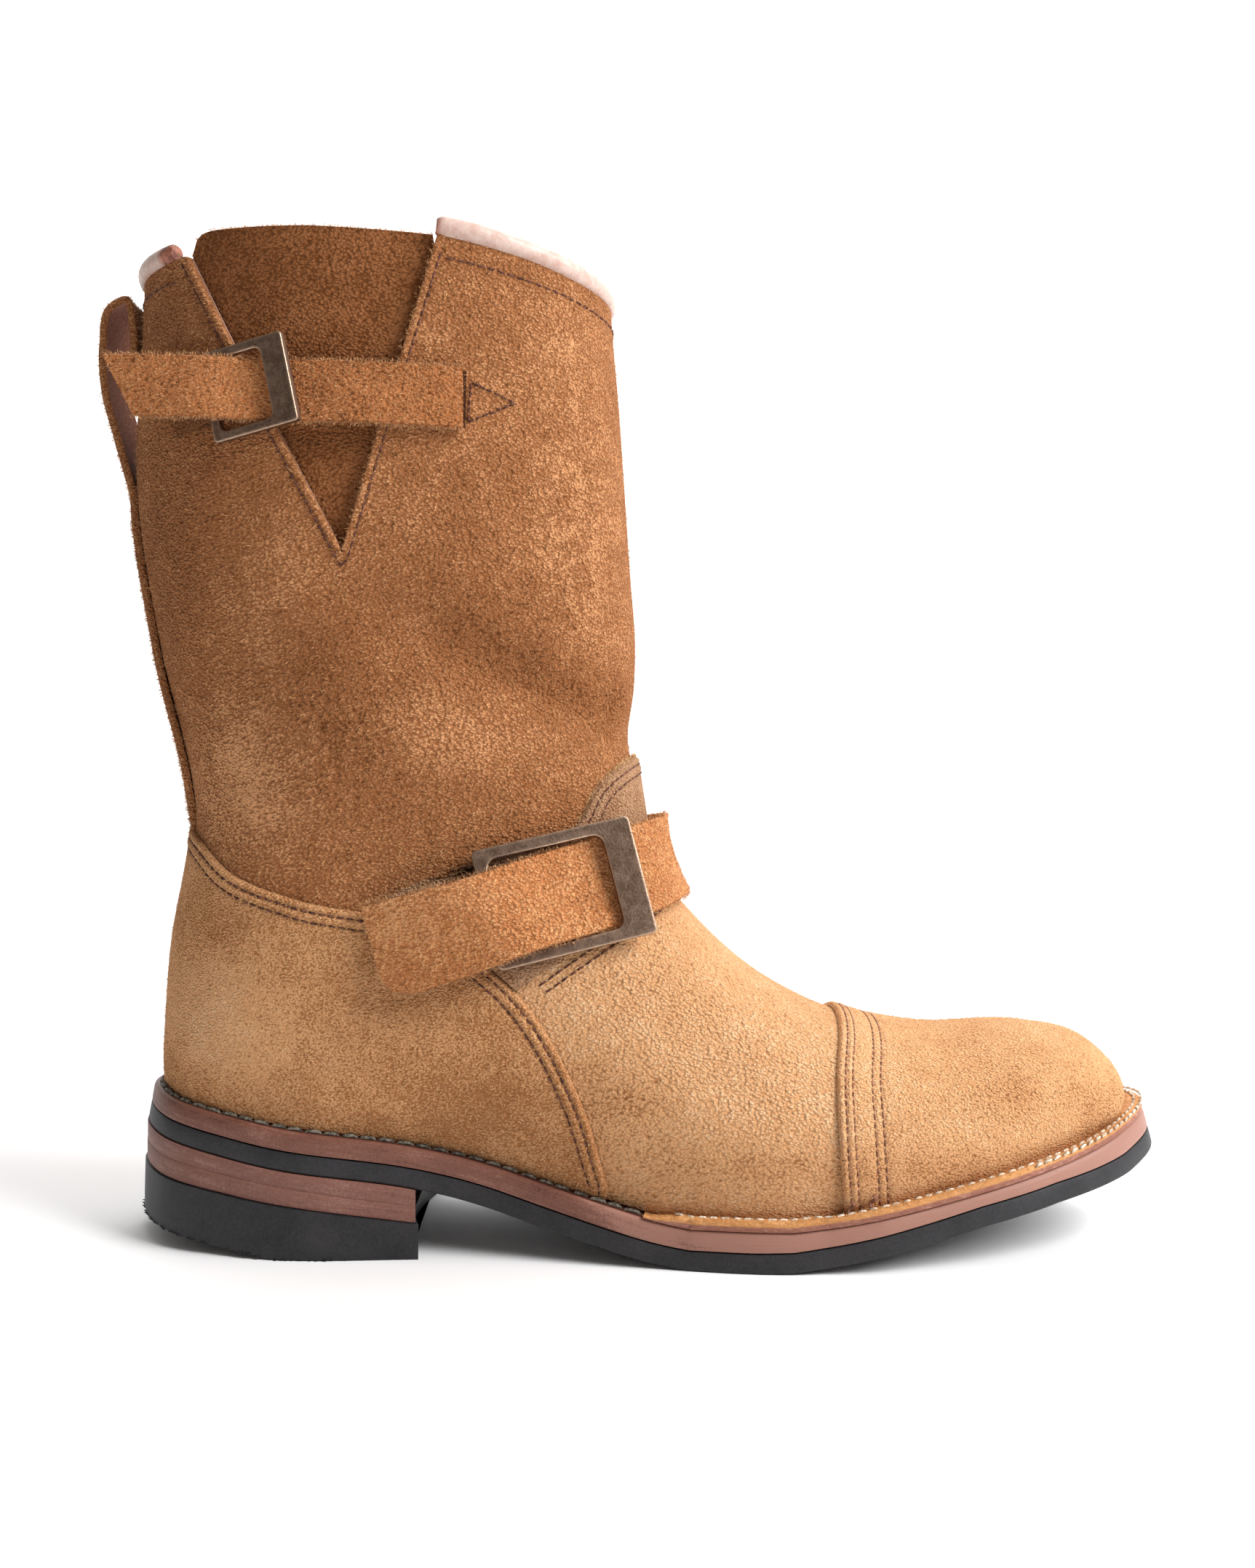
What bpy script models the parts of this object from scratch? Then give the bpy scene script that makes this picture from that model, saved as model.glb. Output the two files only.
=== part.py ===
"""Engineer boot for the right foot, standing on its sole.

Sizes are in millimetres and become metres when a mesh is made. The boot is drawn with X from the heel
to the toe, Y to the inner (medial) side and Z up from the floor. At the end an empty carries every piece,
so that the origin is under the middle of the boot.
"""

import math
from collections import namedtuple

import bmesh
import bpy
import numpy as np
from mathutils import Matrix, Vector

MM = 0.001
GAP = 0.3
NIP = 0.1

# Sole, from the floor up.
OUTSOLE = 5.6
MIDSOLE = 5.5
WELT = 2.8
INSOLE = 2.5
INSOLE_INSET = 4.0
INSOLE_INSET_HEEL = 6.0
INSOLE_HEEL_RUN = 30.0
SEAT = OUTSOLE + MIDSOLE + 3 * GAP
HEEL_LENGTH = 84.0
BREAST_HOLLOW = 5.0
BREAST_RADIUS = 110.0
BREAST_RUN = 20.0
HEEL_BEVEL = 6.5
HEEL_FLAT_FROM = 46.0
WELT_START = 146.0
WELT_LEAN_OUTER = 2.4
WELT_LEAN_INNER = 3.8
WELT_LEAN_RUN = 25.0

# Leather of the upper.
WALL = 2.2
OVERLAY = 1.6
GUSSET = 1.5
GUSSET_CLEAR = 0.7
PIPING_RADIUS = 2.9
PIPING_ENDS = (15.5, 91.8)

# Straps and their brass frames.
STRAP = 2.2
CHAPE = 1.4
FRAME_THICK = 2.6
INSTEP_WIDTH = 26.4
INSTEP_FLARE = 1.8
INSTEP_SLOPE = math.radians(16)
INSTEP_CROSSING = (155.0, 110.5)
INSTEP_END_ROUND = 9.0
SHAFT_WIDTH = 16.8
SHAFT_FRONT_Z = 242.0
SHAFT_BACK_Z = 245.0
SHAFT_END_CUT = 8.5
SHAFT_END_RUN = 25.0
PULL_WIDTH = 24.0
PULL_CURVE = 70.0

# Side line of the outsole's underside. The forefoot is cut flat where it would pass below the floor.
Tread = namedtuple("Tread", "x z")
TREAD = [
    Tread(0, 33.0),
    Tread(44, 25.3),
    Tread(84, 19.6),
    Tread(102, 15.4),
    Tread(120, 10.0),
    Tread(136, 5.4),
    Tread(152, 1.4),
    Tread(176, -0.8),
    Tread(200, 1.0),
    Tread(224, 5.0),
    Tread(250, 10.4),
    Tread(280, 17.2),
    Tread(306, 24.2),
]

# Heel layers from the top down: the height of each underside at the back and at the breast.
Lift = namedtuple("Lift", "name back breast grow")
LIFTS = [
    Lift("heel_lift_upper", 27.4, 14.8, 0.2),
    Lift("heel_lift_lower", 21.8, 10.3, 0.6),
    Lift("top_lift", 0.0, 0.0, 1.2),
]

# Width of the sole that stands out beyond the feather line, along the boot.
Ledge = namedtuple("Ledge", "x width")
LEDGE = [
    Ledge(4, 4.2),
    Ledge(40, 5.0),
    Ledge(200, 6.5),
    Ledge(216, 8.2),
    Ledge(262, 8.4),
    Ledge(296, 9.8),
]

# Room between the feather line and the welt: how much of the cap's thickness, and how many gaps more.
WeltRoom = namedtuple("WeltRoom", "x cap gaps")
WELT_ROOM = [
    WeltRoom(198, 0, 1),
    WeltRoom(203, 1, 1),
    WeltRoom(262, 1, 3),
    WeltRoom(290, 1, 8),
]

# Feather line seen from above: where the upper meets the sole, from the back of the heel by the outer side.
Feather = namedtuple("Feather", "x y")
FEATHER = [
    Feather(4, 0),
    Feather(12.5, -19),
    Feather(36, -29.3),
    Feather(100, -30.5),
    Feather(150, -38.5),
    Feather(190, -43.6),
    Feather(228, -39.4),
    Feather(262, -30),
    Feather(286.5, -13),
    Feather(295.8, 4),
    Feather(287.5, 21),
    Feather(264, 36),
    Feather(226, 42.8),
    Feather(188, 40),
    Feather(150, 29.5),
    Feather(108, 24.5),
    Feather(36, 29.3),
    Feather(12.5, 19),
]

# Sections of the last, toe to collar. Each runs from the feather line at base, or from the back of the leg
# at base and rise, to the ridge at top. outer and inner are the fullest half widths, full is how far up the
# section they lie, and square is 2 for an ellipse and more for a boxier outline.
Section = namedtuple("Section", "name base rise top_x top_z ridge outer inner full square")
SECTIONS = [
    Section("toe_tip", 295.8, None, 292.6, 38.5, 4, 4, 4, 0.50, 2.0),
    Section("toe_wall", 292.5, None, 292.2, 44.4, 4, -11, 19, 0.50, 2.0),
    Section("toe_brow", 283.0, None, 285.5, 52.8, 4, -21, 28, 0.42, 2.1),
    Section("toe_crown", 262.0, None, 268.0, 57.7, 4, -33, 38.5, 0.36, 2.2),
    Section("cap_crown", 236.0, None, 236.5, 57.3, 4, -42, 44.5, 0.33, 2.2),
    Section("cap_edge", 210.0, None, 211.0, 62.6, 4, -45.8, 46.5, 0.32, 2.1),
    Section("ball", 182.0, None, 187.0, 74.2, 3, -47, 43.5, 0.34, 2.0),
    Section("waist", 142.0, None, 164.6, 93.8, 2, -44.5, 37, 0.38, 2.0),
    Section("instep", 98.0, None, 152.4, 112.5, 1, -40.5, 35.5, 0.42, 2.1),
    Section("ankle", 54.0, None, 147.9, 132.0, 0, -37.5, 35.5, 0.45, 2.1),
    Section("heel_turn", 20.0, None, 147.2, 151.0, 0, -37, 36, 0.46, 2.2),
    Section("heel_back", 4.0, None, 146.6, 164.0, 0, -37.5, 37, 0.47, 2.2),
    Section("counter", 8.8, 84.0, 146.0, 183.0, 0, -39, 38.5, 0.48, 2.2),
    Section("counter_top", 14.6, 122.0, 145.4, 201.0, 0, -40.5, 40, 0.48, 2.2),
    Section("leg", 4.5, 172.0, 144.0, 224.0, 0, -42, 42, 0.48, 2.2),
    Section("calf", -2.6, 217.0, 142.4, 247.0, 0, -43.5, 43.5, 0.48, 2.2),
    Section("collar", -0.6, 282.0, 140.0, 277.0, 0, -44.5, 44.5, 0.48, 2.2),
    Section("above_collar", -1.0, 302.0, 139.0, 296.0, 0, -45, 45, 0.48, 2.2),
]
ROW = {section.name: number for number, section in enumerate(SECTIONS)}

# Height of the leather's edge at the collar, along the boot, on the outer and the inner side.
Collar = namedtuple("Collar", "x outer inner")
COLLAR = [
    Collar(-2, 282.0, 282.0),
    Collar(20, 284.0, 280.0),
    Collar(60, 285.5, 278.0),
    Collar(92, 287.6, 277.0),
    Collar(112, 284.2, 277.0),
    Collar(126, 281.0, 277.0),
    Collar(140, 277.0, 277.0),
]

# Outlines seen from the side, as points of smooth edges. Cutters reach past the boot at its sides and ends.
SIDE_REACH = 90.0
BACK_REACH = -30.0
FRONT_REACH = 330.0
NOTCH = [(65.4, 199.8), (94.0, 294.0), (14.5, 294.0)]
NOTCH_INNER_Y = -8.0
QUARTER_TOP = [(2, 126), (21, 117), (31, 109.2), (51, 101.8), (85, 94.5)]
QUARTER_FRONT = [(113, 76.5), (132.6, 44.7), (139.4, 22)]
TONGUE_TOP = [(54, 102.5), (80, 107), (104, 112.7), (130, 122), (136, 133), (148, 142), (175, 146)]
TONGUE_FOOT = [(175, 114), (150, 100), (134.5, 90.2), (108, 72)]
CAP_EDGE = [(212.5, 78.0), (208.6, 65.0), (204.2, 53.0), (203.4, 38.0), (204.0, 26.0)]
CAP_FOOT = 206.0
GUSSET_FRONT = [(65, 184), (90, 236), (95, 262), (90, 277), (90, 287.2)]
GUSSET_BACK = [(60, 290.4), (24, 291), (20, 287), (30.5, 257), (50, 210)]
GUSSET_PLACES = (-0.96, -0.12)
GUSSET_INNER_Y = -2.0

# Centre line of the pull loop where it stands free of the shaft, from its sewn end over the top.
PULL_RISE = [(-3.5, 256), (-3.5, 270), (-5.6, 278), (-9.8, 276)]
PULL_FALL = [(-12.4, 264), (-11.6, 250), (-8.6, 238), (-6, 228)]
PULL_SEWN = 220.0
PULL_LOW = 125.5

# How far the instep strap stands off at its lower and upper edge. Distances along it start at the ridge of
# the instep and are positive on the outer side.
Ride = namedtuple("Ride", "along low high")
INSTEP_RIDE = [
    Ride(-74, 2.3, 2.3),
    Ride(-30, 2.3, 2.6),
    Ride(0, 2.2, 6.0),
    Ride(16, 2.4, 4.0),
    Ride(31, 2.5, 2.5),
    Ride(43, 2.5, 2.5),
    Ride(70, 10.7, 10.7),
    Ride(84, 9.4, 9.4),
    Ride(109, 6.4, 6.4),
]
# Inner face of the shaft strap seen from above, from its sewn front end to its free end.
SHAFT_FRONT = [(98.8, -40.9), (90, -42.8), (78, -44.5), (66, -45.0), (54, -44.3), (46, -43.7)]
SHAFT_BACK = [(38, -44.4), (30, -46.0), (15, -45.2), (0, -43.9)]

# Brass frames: outer size along and across the strap, the widths of the front bar and the other bars, and
# how far the frame is turned on the strap.
Frame = namedtuple("Frame", "name length height front_bar bar corner turn")
INSTEP_FRAME = Frame("instep_buckle", 46.0, 34.4, 8.6, 3.2, 1.6, math.radians(-5.5))
SHAFT_FRAME = Frame("shaft_buckle", 26.5, 25.0, 6.6, 2.6, 1.0, 0.0)
FRAME_EDGE = 0.4
INSTEP_FRONT_BAR = 31.0
INSTEP_BACK_BAR = 71.0
INSTEP_FRONT_LIFT = 9.5
INSTEP_OUT = (0.24, -0.94, 0.255)
INSTEP_BACK_LIFT = OVERLAY + 6 * GAP + CHAPE + 2 * GAP + FRAME_THICK / 2
SHAFT_FRONT_BAR = (49.7, -48.7, 245.9)
SHAFT_BACK_BAR = (29.1, -42.1, 241.7)

# Leather folds that hold the frames: width, and the lengths of the run below the bar and of the run over it.
Chape = namedtuple("Chape", "name width under over lift")
INSTEP_CHAPE = Chape("instep_chape", 14.0, 24.0, 15.0, OVERLAY + 2 * GAP)
SHAFT_CHAPE = Chape("shaft_chape", 13.0, 16.0, 11.0, GAP)

# Colour, roughness and metallic value of each finish.
Finish = namedtuple("Finish", "colour roughness metallic")
RUBBER = Finish((0.02, 0.02, 0.022), 0.7, 0.0)
SOLE_LEATHER = Finish((0.28, 0.11, 0.07), 0.55, 0.0)
WELT_LEATHER = Finish((0.55, 0.30, 0.12), 0.6, 0.0)
SHAFT_SUEDE = Finish((0.45, 0.20, 0.08), 0.9, 0.0)
FOOT_SUEDE = Finish((0.57, 0.33, 0.13), 0.9, 0.0)
PIPING_LEATHER = Finish((0.70, 0.43, 0.34), 0.45, 0.0)
INSOLE_LEATHER = Finish((0.60, 0.42, 0.27), 0.7, 0.0)
BRASS = Finish((0.30, 0.22, 0.10), 0.4, 1.0)


def smooth(knots, values, at):
    """Cubic curve through values at rising knots, with each slope taken from the neighbours."""
    knots, values, at = (np.asarray(given, float) for given in (knots, values, at))
    slopes = np.gradient(values, knots)
    left = np.clip(np.searchsorted(knots, at, side="right") - 1, 0, len(knots) - 2)
    span = knots[left + 1] - knots[left]
    t = (at - knots[left]) / span
    start, end = values[left], values[left + 1]
    leave, arrive = slopes[left] * span, slopes[left + 1] * span
    bend = t * t * (3 - 2 * t)
    return start + (end - start) * bend + t * (1 - t) * (leave * (1 - t) - arrive * t)


def chords(points):
    """Distance along a run of points, from the first."""
    return np.concatenate([[0], np.cumsum(np.linalg.norm(np.diff(points, axis=0), axis=1))])


def smooth_path(points, count):
    """count places, evenly spread, on the smooth open curve through the points."""
    points = np.asarray(points, float)
    knots = chords(points)
    at = np.linspace(0, knots[-1], count)
    return np.column_stack([smooth(knots, column, at) for column in points.T])


def feather_loop(grow, count=721):
    """The feather line as a closed run of points, moved out by grow(x)."""
    wrap = 3
    ring = np.array(FEATHER[-wrap:] + FEATHER + FEATHER[: wrap + 1], float)
    knots = chords(ring)
    at = np.linspace(knots[wrap], knots[wrap + len(FEATHER)], count)
    line = np.column_stack([smooth(knots, column, at) for column in ring.T])
    along = np.gradient(line, axis=0)
    along[0] = along[-1] = along[0] + along[-1]
    out = np.column_stack([along[:, 1], -along[:, 0]])
    out /= np.linalg.norm(out, axis=1, keepdims=True)
    return line + out * np.asarray(grow(line[:, 0]))[:, None]


def sides(loop):
    """The outer and the inner half of a loop, each running from heel to toe."""
    tip = int(np.argmax(loop[:, 0]))
    return loop[: tip + 1], loop[tip:][::-1]


def ledge(x):
    """Width of the sole beyond the feather line at places x."""
    return np.interp(x, [row.x for row in LEDGE], [row.width for row in LEDGE])


def tread_height(x):
    """Height of the outsole's underside above the floor."""
    return np.maximum(smooth([row.x for row in TREAD], [row.z for row in TREAD], x), 0)


def sole_point(x, y, height):
    """Points at a height above the tread line, square to it, for sole positions x and y."""
    x = np.asarray(x, float)
    slope = (tread_height(x + 1) - tread_height(x - 1)) / 2
    length = np.hypot(1, slope)
    x, y, z = np.broadcast_arrays(x - slope / length * height, y, tread_height(x) + height / length)
    return np.stack([x, y, z], axis=-1)


FEATHER_SIDES = sides(feather_loop(lambda x: 0 * x))
FEATHER_ENDS = FEATHER_SIDES[0][0, 0], FEATHER_SIDES[0][-1, 0]


def section_columns(u):
    """Columns of the section table at row number u, which need not be whole."""
    heel = ROW["heel_back"]
    numbers = np.arange(len(SECTIONS))
    base = np.array([section.base for section in SECTIONS])
    start = sole_point(base, 0, SEAT)[:, [0, 2]]
    start[heel + 1 :] = [(section.base, section.rise) for section in SECTIONS[heel + 1 :]]
    top = np.array([(section.top_x, section.top_z) for section in SECTIONS])
    knots = chords(np.hstack([start, top]))
    at = np.interp(u, numbers, knots)
    found = {"base": smooth(knots[: heel + 1], base[: heel + 1], np.minimum(at, knots[heel]))}
    found["base"] = np.clip(found["base"], *FEATHER_ENDS)
    seat = sole_point(found["base"], 0, SEAT)
    for name, column, place in (("start_x", 0, 0), ("start_z", 1, 2)):
        leg = smooth(knots[heel:], start[heel:, column], np.maximum(at, knots[heel]))
        found[name] = np.where(u < heel, seat[..., place], leg)
    for name in ("top_x", "top_z", "ridge", "outer", "inner", "full", "square"):
        found[name] = smooth(knots, [getattr(section, name) for section in SECTIONS], at)
    return found


def last_surface(u, v):
    """Outer face of the upper at row u and place v: -1 outer edge, 0 ridge, 1 inner edge."""
    u, v = np.broadcast_arrays(np.asarray(u, float), np.asarray(v, float))
    row = section_columns(u)
    least = 1e-4
    outer_edge, inner_edge = (np.interp(row["base"], side[:, 0], side[:, 1]) for side in FEATHER_SIDES)
    ridge = np.where(u < ROW["heel_back"], np.clip(row["ridge"], outer_edge, inner_edge), row["ridge"])
    edge = np.where(v < 0, outer_edge, inner_edge) - ridge
    edge = np.where(u < ROW["heel_back"], edge, 0)
    width = np.where(v < 0, row["outer"], row["inner"]) - ridge
    width = np.where(u > ROW["toe_tip"], width, edge)
    width = np.where(v < 0, np.minimum(width, edge - least), np.maximum(width, edge + least))
    power = 2 / row["square"]
    low = np.arccos(np.clip(edge / width, 0, 1) ** (1 / power))
    angle = math.pi / 2 - np.abs(v) * (math.pi / 2 + low)
    sine = np.abs(np.sin(angle)) ** power
    floor_sine = np.maximum(np.sin(low) ** power, least)
    above = row["full"] + (1 - row["full"]) * sine
    below = row["full"] * (1 - sine / floor_sine)
    share = np.where(angle >= 0, above, below)
    across = ridge + width * np.maximum(np.cos(angle), 0) ** power
    x = row["start_x"] + (row["top_x"] - row["start_x"]) * share
    z = row["start_z"] + (row["top_z"] - row["start_z"]) * share
    return np.stack([x, across, z], axis=-1)


def one_normal(u, v):
    """Outward normal of the last from small steps along the table and across it."""
    u = np.clip(u, 0.3, len(SECTIONS) - 1.06)
    along = last_surface(u + 0.05, v) - last_surface(u - 0.05, v)
    across = last_surface(u, np.minimum(v + 0.02, 1)) - last_surface(u, np.maximum(v - 0.02, -1))
    normal = np.cross(across, along)
    return normal / np.linalg.norm(normal, axis=-1, keepdims=True)


def surface_normal(u, v):
    """Outward normal, shared by the two sides where they meet at the toe tip and the back seam."""
    u, v = np.broadcast_arrays(np.asarray(u, float), np.asarray(v, float))
    normal = one_normal(u, v)
    seam = (u < 1e-6) | ((np.abs(v) > 1 - 1e-6) & (u >= ROW["heel_back"]))
    shared = normal + one_normal(u, -v)
    normal = np.where(seam[..., None], shared, normal)
    return normal / np.linalg.norm(normal, axis=-1, keepdims=True)


def surface(u, v, out):
    """Points at a distance out from the outer face of the upper."""
    return last_surface(u, v) + surface_normal(u, v) * out


def collar_row(v):
    """Row number at which the leather ends at the collar."""
    v = np.asarray(v, float)
    rows = np.linspace(ROW["calf"], ROW["above_collar"], 61)
    points = last_surface(rows[:, None], v[None, :])
    heights = [[row.outer for row in COLLAR], [row.inner for row in COLLAR]]
    outer, inner = (smooth([row.x for row in COLLAR], column, points[..., 0]) for column in heights)
    over = points[..., 2] - np.where((v < 0) & (v > -1), outer, inner)
    return np.array([np.interp(0, over[:, place], rows) for place in range(len(v))])


def add_piece(name, mesh, finish, collection):
    """An object in the collection, with its own material, from a finished mesh."""
    material = bpy.data.materials.new(name)
    material.use_nodes = True
    shader = material.node_tree.nodes["Principled BSDF"]
    shader.inputs["Base Color"].default_value = (*finish.colour, 1)
    shader.inputs["Roughness"].default_value = finish.roughness
    shader.inputs["Metallic"].default_value = finish.metallic
    piece = bpy.data.objects.new(name, mesh)
    piece.data.materials.append(material)
    collection.objects.link(piece)
    return piece


def mesh_from(name, shape):
    """Blender mesh from a bmesh, shaded smooth up to an edge angle."""
    mesh = bpy.data.meshes.new(name)
    shape.to_mesh(mesh)
    shape.free()
    mesh.shade_smooth()
    mesh.set_sharp_from_angle(angle=math.radians(35))
    return mesh


def loft(name, rings, finish, collection):
    """Closed solid through rings of points, with a flat cap at each end."""
    shape = bmesh.new()
    loops = [[shape.verts.new(Vector(point) * MM) for point in ring] for ring in rings]
    for lower, upper in zip(loops, loops[1:]):
        for corner in range(len(lower)):
            after = (corner + 1) % len(lower)
            shape.faces.new([lower[corner], lower[after], upper[after], upper[corner]])
    shape.faces.new(loops[0])
    shape.faces.new(loops[-1])
    bmesh.ops.recalc_face_normals(shape, faces=shape.faces)
    return add_piece(name, mesh_from(name, shape), finish, collection)


def ribbon(name, inner, outward, thickness, finish, collection):
    """Strip of leather from a grid of points on its inner face, row by row along its run."""
    rings = np.concatenate([inner, (inner + outward * thickness)[:, ::-1]], axis=1)
    return loft(name, rings, finish, collection)


def leather(name, rows, places, out, thickness, finish, collection):
    """Sheet on the last between rows and places, thickened out from the last or, if negative, into it."""
    rows, places = np.broadcast_arrays(rows, places)
    points = surface(rows, places, out)
    shape = bmesh.new()
    verts = [[shape.verts.new(Vector(point) * MM) for point in line] for line in points]
    turned = (places >= 0) != (rows < ROW["toe_wall"])
    for lower, upper, turns in zip(verts, verts[1:], turned):
        for place in range(len(lower) - 1):
            corners = [lower[place], lower[place + 1], upper[place + 1], upper[place]]
            if turns[place]:
                corners = corners[1:] + corners[:1]
            shape.faces.new(corners[:3])
            shape.faces.new([corners[0], corners[2], corners[3]])
    bmesh.ops.remove_doubles(shape, verts=shape.verts, dist=1e-6)
    piece = add_piece(name, mesh_from(name, shape), finish, collection)
    wall = piece.modifiers.new("Wall", "SOLIDIFY")
    wall.thickness = abs(thickness) * MM
    wall.offset = math.copysign(1, thickness)
    wall.use_even_offset = False
    return piece


def prism(name, outline, collection, y_from=-SIDE_REACH, y_to=SIDE_REACH):
    """Cutter: an outline in the side view, run across the boot."""
    shape = bmesh.new()
    face = shape.faces.new([shape.verts.new(Vector((x, y_from, z)) * MM) for x, z in outline])
    run = bmesh.ops.extrude_face_region(shape, geom=[face])
    moved = [item for item in run["geom"] if isinstance(item, bmesh.types.BMVert)]
    bmesh.ops.translate(shape, verts=moved, vec=(0, (y_to - y_from) * MM, 0))
    bmesh.ops.recalc_face_normals(shape, faces=shape.faces)
    cutter = bpy.data.objects.new(name, mesh_from(name, shape))
    collection.objects.link(cutter)
    return as_cutter(cutter)


def as_cutter(cutter):
    """Keep a helper out of the finished object."""
    cutter.hide_render = True
    cutter.display_type = "WIRE"
    return cutter


def cut(piece, cutter, operation):
    """Boolean of a piece with a cutter."""
    boolean = piece.modifiers.new(cutter.name, "BOOLEAN")
    boolean.operation = operation
    boolean.solver = "EXACT"
    boolean.object = cutter


def stations(low, high, count):
    """Places from low to high, closer together at both ends where the outline turns round."""
    return low + (high - low) * (1 - np.cos(np.linspace(0, math.pi, count))) / 2


def outline_ends(halves, x):
    """Outer and inner y of an outline at places x."""
    return [np.interp(x, half[:, 0], half[:, 1]) for half in halves]


def make_layer(name, halves, low, high, finish, collection):
    """Sole layer between two heights above the tread line."""
    x = stations(halves[0][0, 0] + NIP, halves[0][-1, 0] - NIP, 36)
    outer, inner = outline_ends(halves, x)
    corners = [(outer, low), (inner, low), (inner, high), (outer, high)]
    rings = np.stack([sole_point(x, y, height) for y, height in corners], axis=1)
    return loft(name, rings, finish, collection)


def make_sole(parts, cutters):
    """Outsole, midsole and insole, each following the tread line, and the cutter that trims the leather."""
    halves = sides(feather_loop(ledge))
    make_layer("outsole", halves, 0, OUTSOLE, RUBBER, parts)
    make_layer("midsole", halves, OUTSOLE + GAP, SEAT - 2 * GAP, SOLE_LEATHER, parts)

    def inset(x):
        return -np.interp(x, [0, INSOLE_HEEL_RUN], [INSOLE_INSET_HEEL, INSOLE_INSET])

    make_layer("insole", sides(feather_loop(inset)), SEAT, SEAT + INSOLE, INSOLE_LEATHER, parts)
    return as_cutter(make_layer("seat_trim", halves, OUTSOLE, SEAT - GAP, SOLE_LEATHER, cutters))


def make_welt(parts):
    """Strip round the forefoot, from the upper's edge to the edge of the sole."""
    cap = OVERLAY + 2 * GAP

    def clear(x):
        room = [row.cap * cap + row.gaps * GAP for row in WELT_ROOM]
        return np.interp(x, [row.x for row in WELT_ROOM], room)

    outer = feather_loop(ledge)
    low = feather_loop(clear)
    lean = np.interp(low[:, 1], [0, WELT_LEAN_RUN], [WELT_LEAN_OUTER, WELT_LEAN_INNER])
    high = low + (feather_loop(lambda x: clear(x) + 1) - low) * lean[:, None]
    run = np.flatnonzero(outer[:, 0] > WELT_START)
    run = np.unique(np.linspace(run[0], run[-1], 44).astype(int))
    bed = SEAT - GAP
    corners = [(low, bed), (outer, bed), (outer, bed + WELT), (high, bed + WELT)]
    rings = np.stack([sole_point(loop[run, 0], loop[run, 1], height) for loop, height in corners], axis=1)
    loft("welt", rings, WELT_LEATHER, parts)


def make_heel(parts, cutters):
    """Two leather lifts and the rubber top lift, with a hollow breast and the back edge bevelled."""
    centre = HEEL_LENGTH - BREAST_HOLLOW + BREAST_RADIUS
    bpy.ops.mesh.primitive_cylinder_add(
        vertices=96, radius=BREAST_RADIUS * MM, depth=SIDE_REACH * MM, location=(centre * MM, 0, 0)
    )
    breast = bpy.context.object
    breast.name = "heel_breast"
    for holder in breast.users_collection:
        holder.objects.unlink(breast)
    cutters.objects.link(as_cutter(breast))
    under = tread_height
    for lift in LIFTS:
        halves = sides(feather_loop(lambda x, lift=lift: ledge(x) + lift.grow))
        x = stations(halves[0][0, 0] + NIP, HEEL_LENGTH + BREAST_RUN, 30)
        x = np.union1d(x, [HEEL_FLAT_FROM])
        outer, inner = outline_ends(halves, x)
        top = under(x) - GAP
        low = np.interp(x, [0, HEEL_LENGTH], [lift.back, lift.breast])
        if lift.back == 0:
            low = HEEL_BEVEL * np.clip(1 - x / HEEL_FLAT_FROM, 0, 1)
        corners = [(outer, low), (inner, low), (inner, top), (outer, top)]
        rings = np.stack([np.stack([x, y, z], axis=1) for y, z in corners], axis=1)
        finish = RUBBER if lift.name == "top_lift" else SOLE_LEATHER
        cut(loft(lift.name, rings, finish, parts), breast, "DIFFERENCE")

        def under(x, lift=lift):
            return np.interp(x, [0, HEEL_LENGTH], [lift.back, lift.breast])


def upper_places():
    """Places across the last: 0 is the ridge, and both edges are included."""
    return np.linspace(-1, 1, 23)


def foot_rows(first, last):
    """Row numbers for a sheet, closer together where the toe and the heel turn round."""
    toe = [0, 0.15, 0.4, 0.7]
    foot = np.arange(1, ROW["heel_back"], 0.5)
    heel = ROW["heel_back"] - np.array([0.7, 0.3, 0.08, 0])
    leg = np.arange(ROW["heel_back"], len(SECTIONS), 0.5)
    rows = np.unique(np.concatenate([toe, foot, heel, leg]))
    return rows[(rows >= first) & (rows <= last)]


def make_upper(parts, cutters, seat_trim):
    """Shaft and vamp as one wall, open underneath and at the collar, with the notch cut in its outer side."""
    places = upper_places()
    rows = foot_rows(0, ROW["calf"])
    top = collar_row(places)
    grid = np.repeat(rows[:, None], len(places), axis=1)
    share = np.array([1, 2, 3])[:, None] / 3
    grid = np.vstack([grid, ROW["calf"] + (top - ROW["calf"])[None, :] * share])
    upper = leather("upper", grid, places[None, :], 0, -WALL, SHAFT_SUEDE, parts)
    cut(upper, prism("notch", NOTCH, cutters, y_to=NOTCH_INNER_Y), "DIFFERENCE")
    cut(upper, seat_trim, "DIFFERENCE")


def seat_edge(x_from, x_to):
    """Run of side-view points just above the seat, for the lower edge of a panel."""
    x = np.linspace(x_from, x_to, 28)
    return sole_point(x, 0, SEAT + 3 * GAP)[:, [0, 2]]


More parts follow.
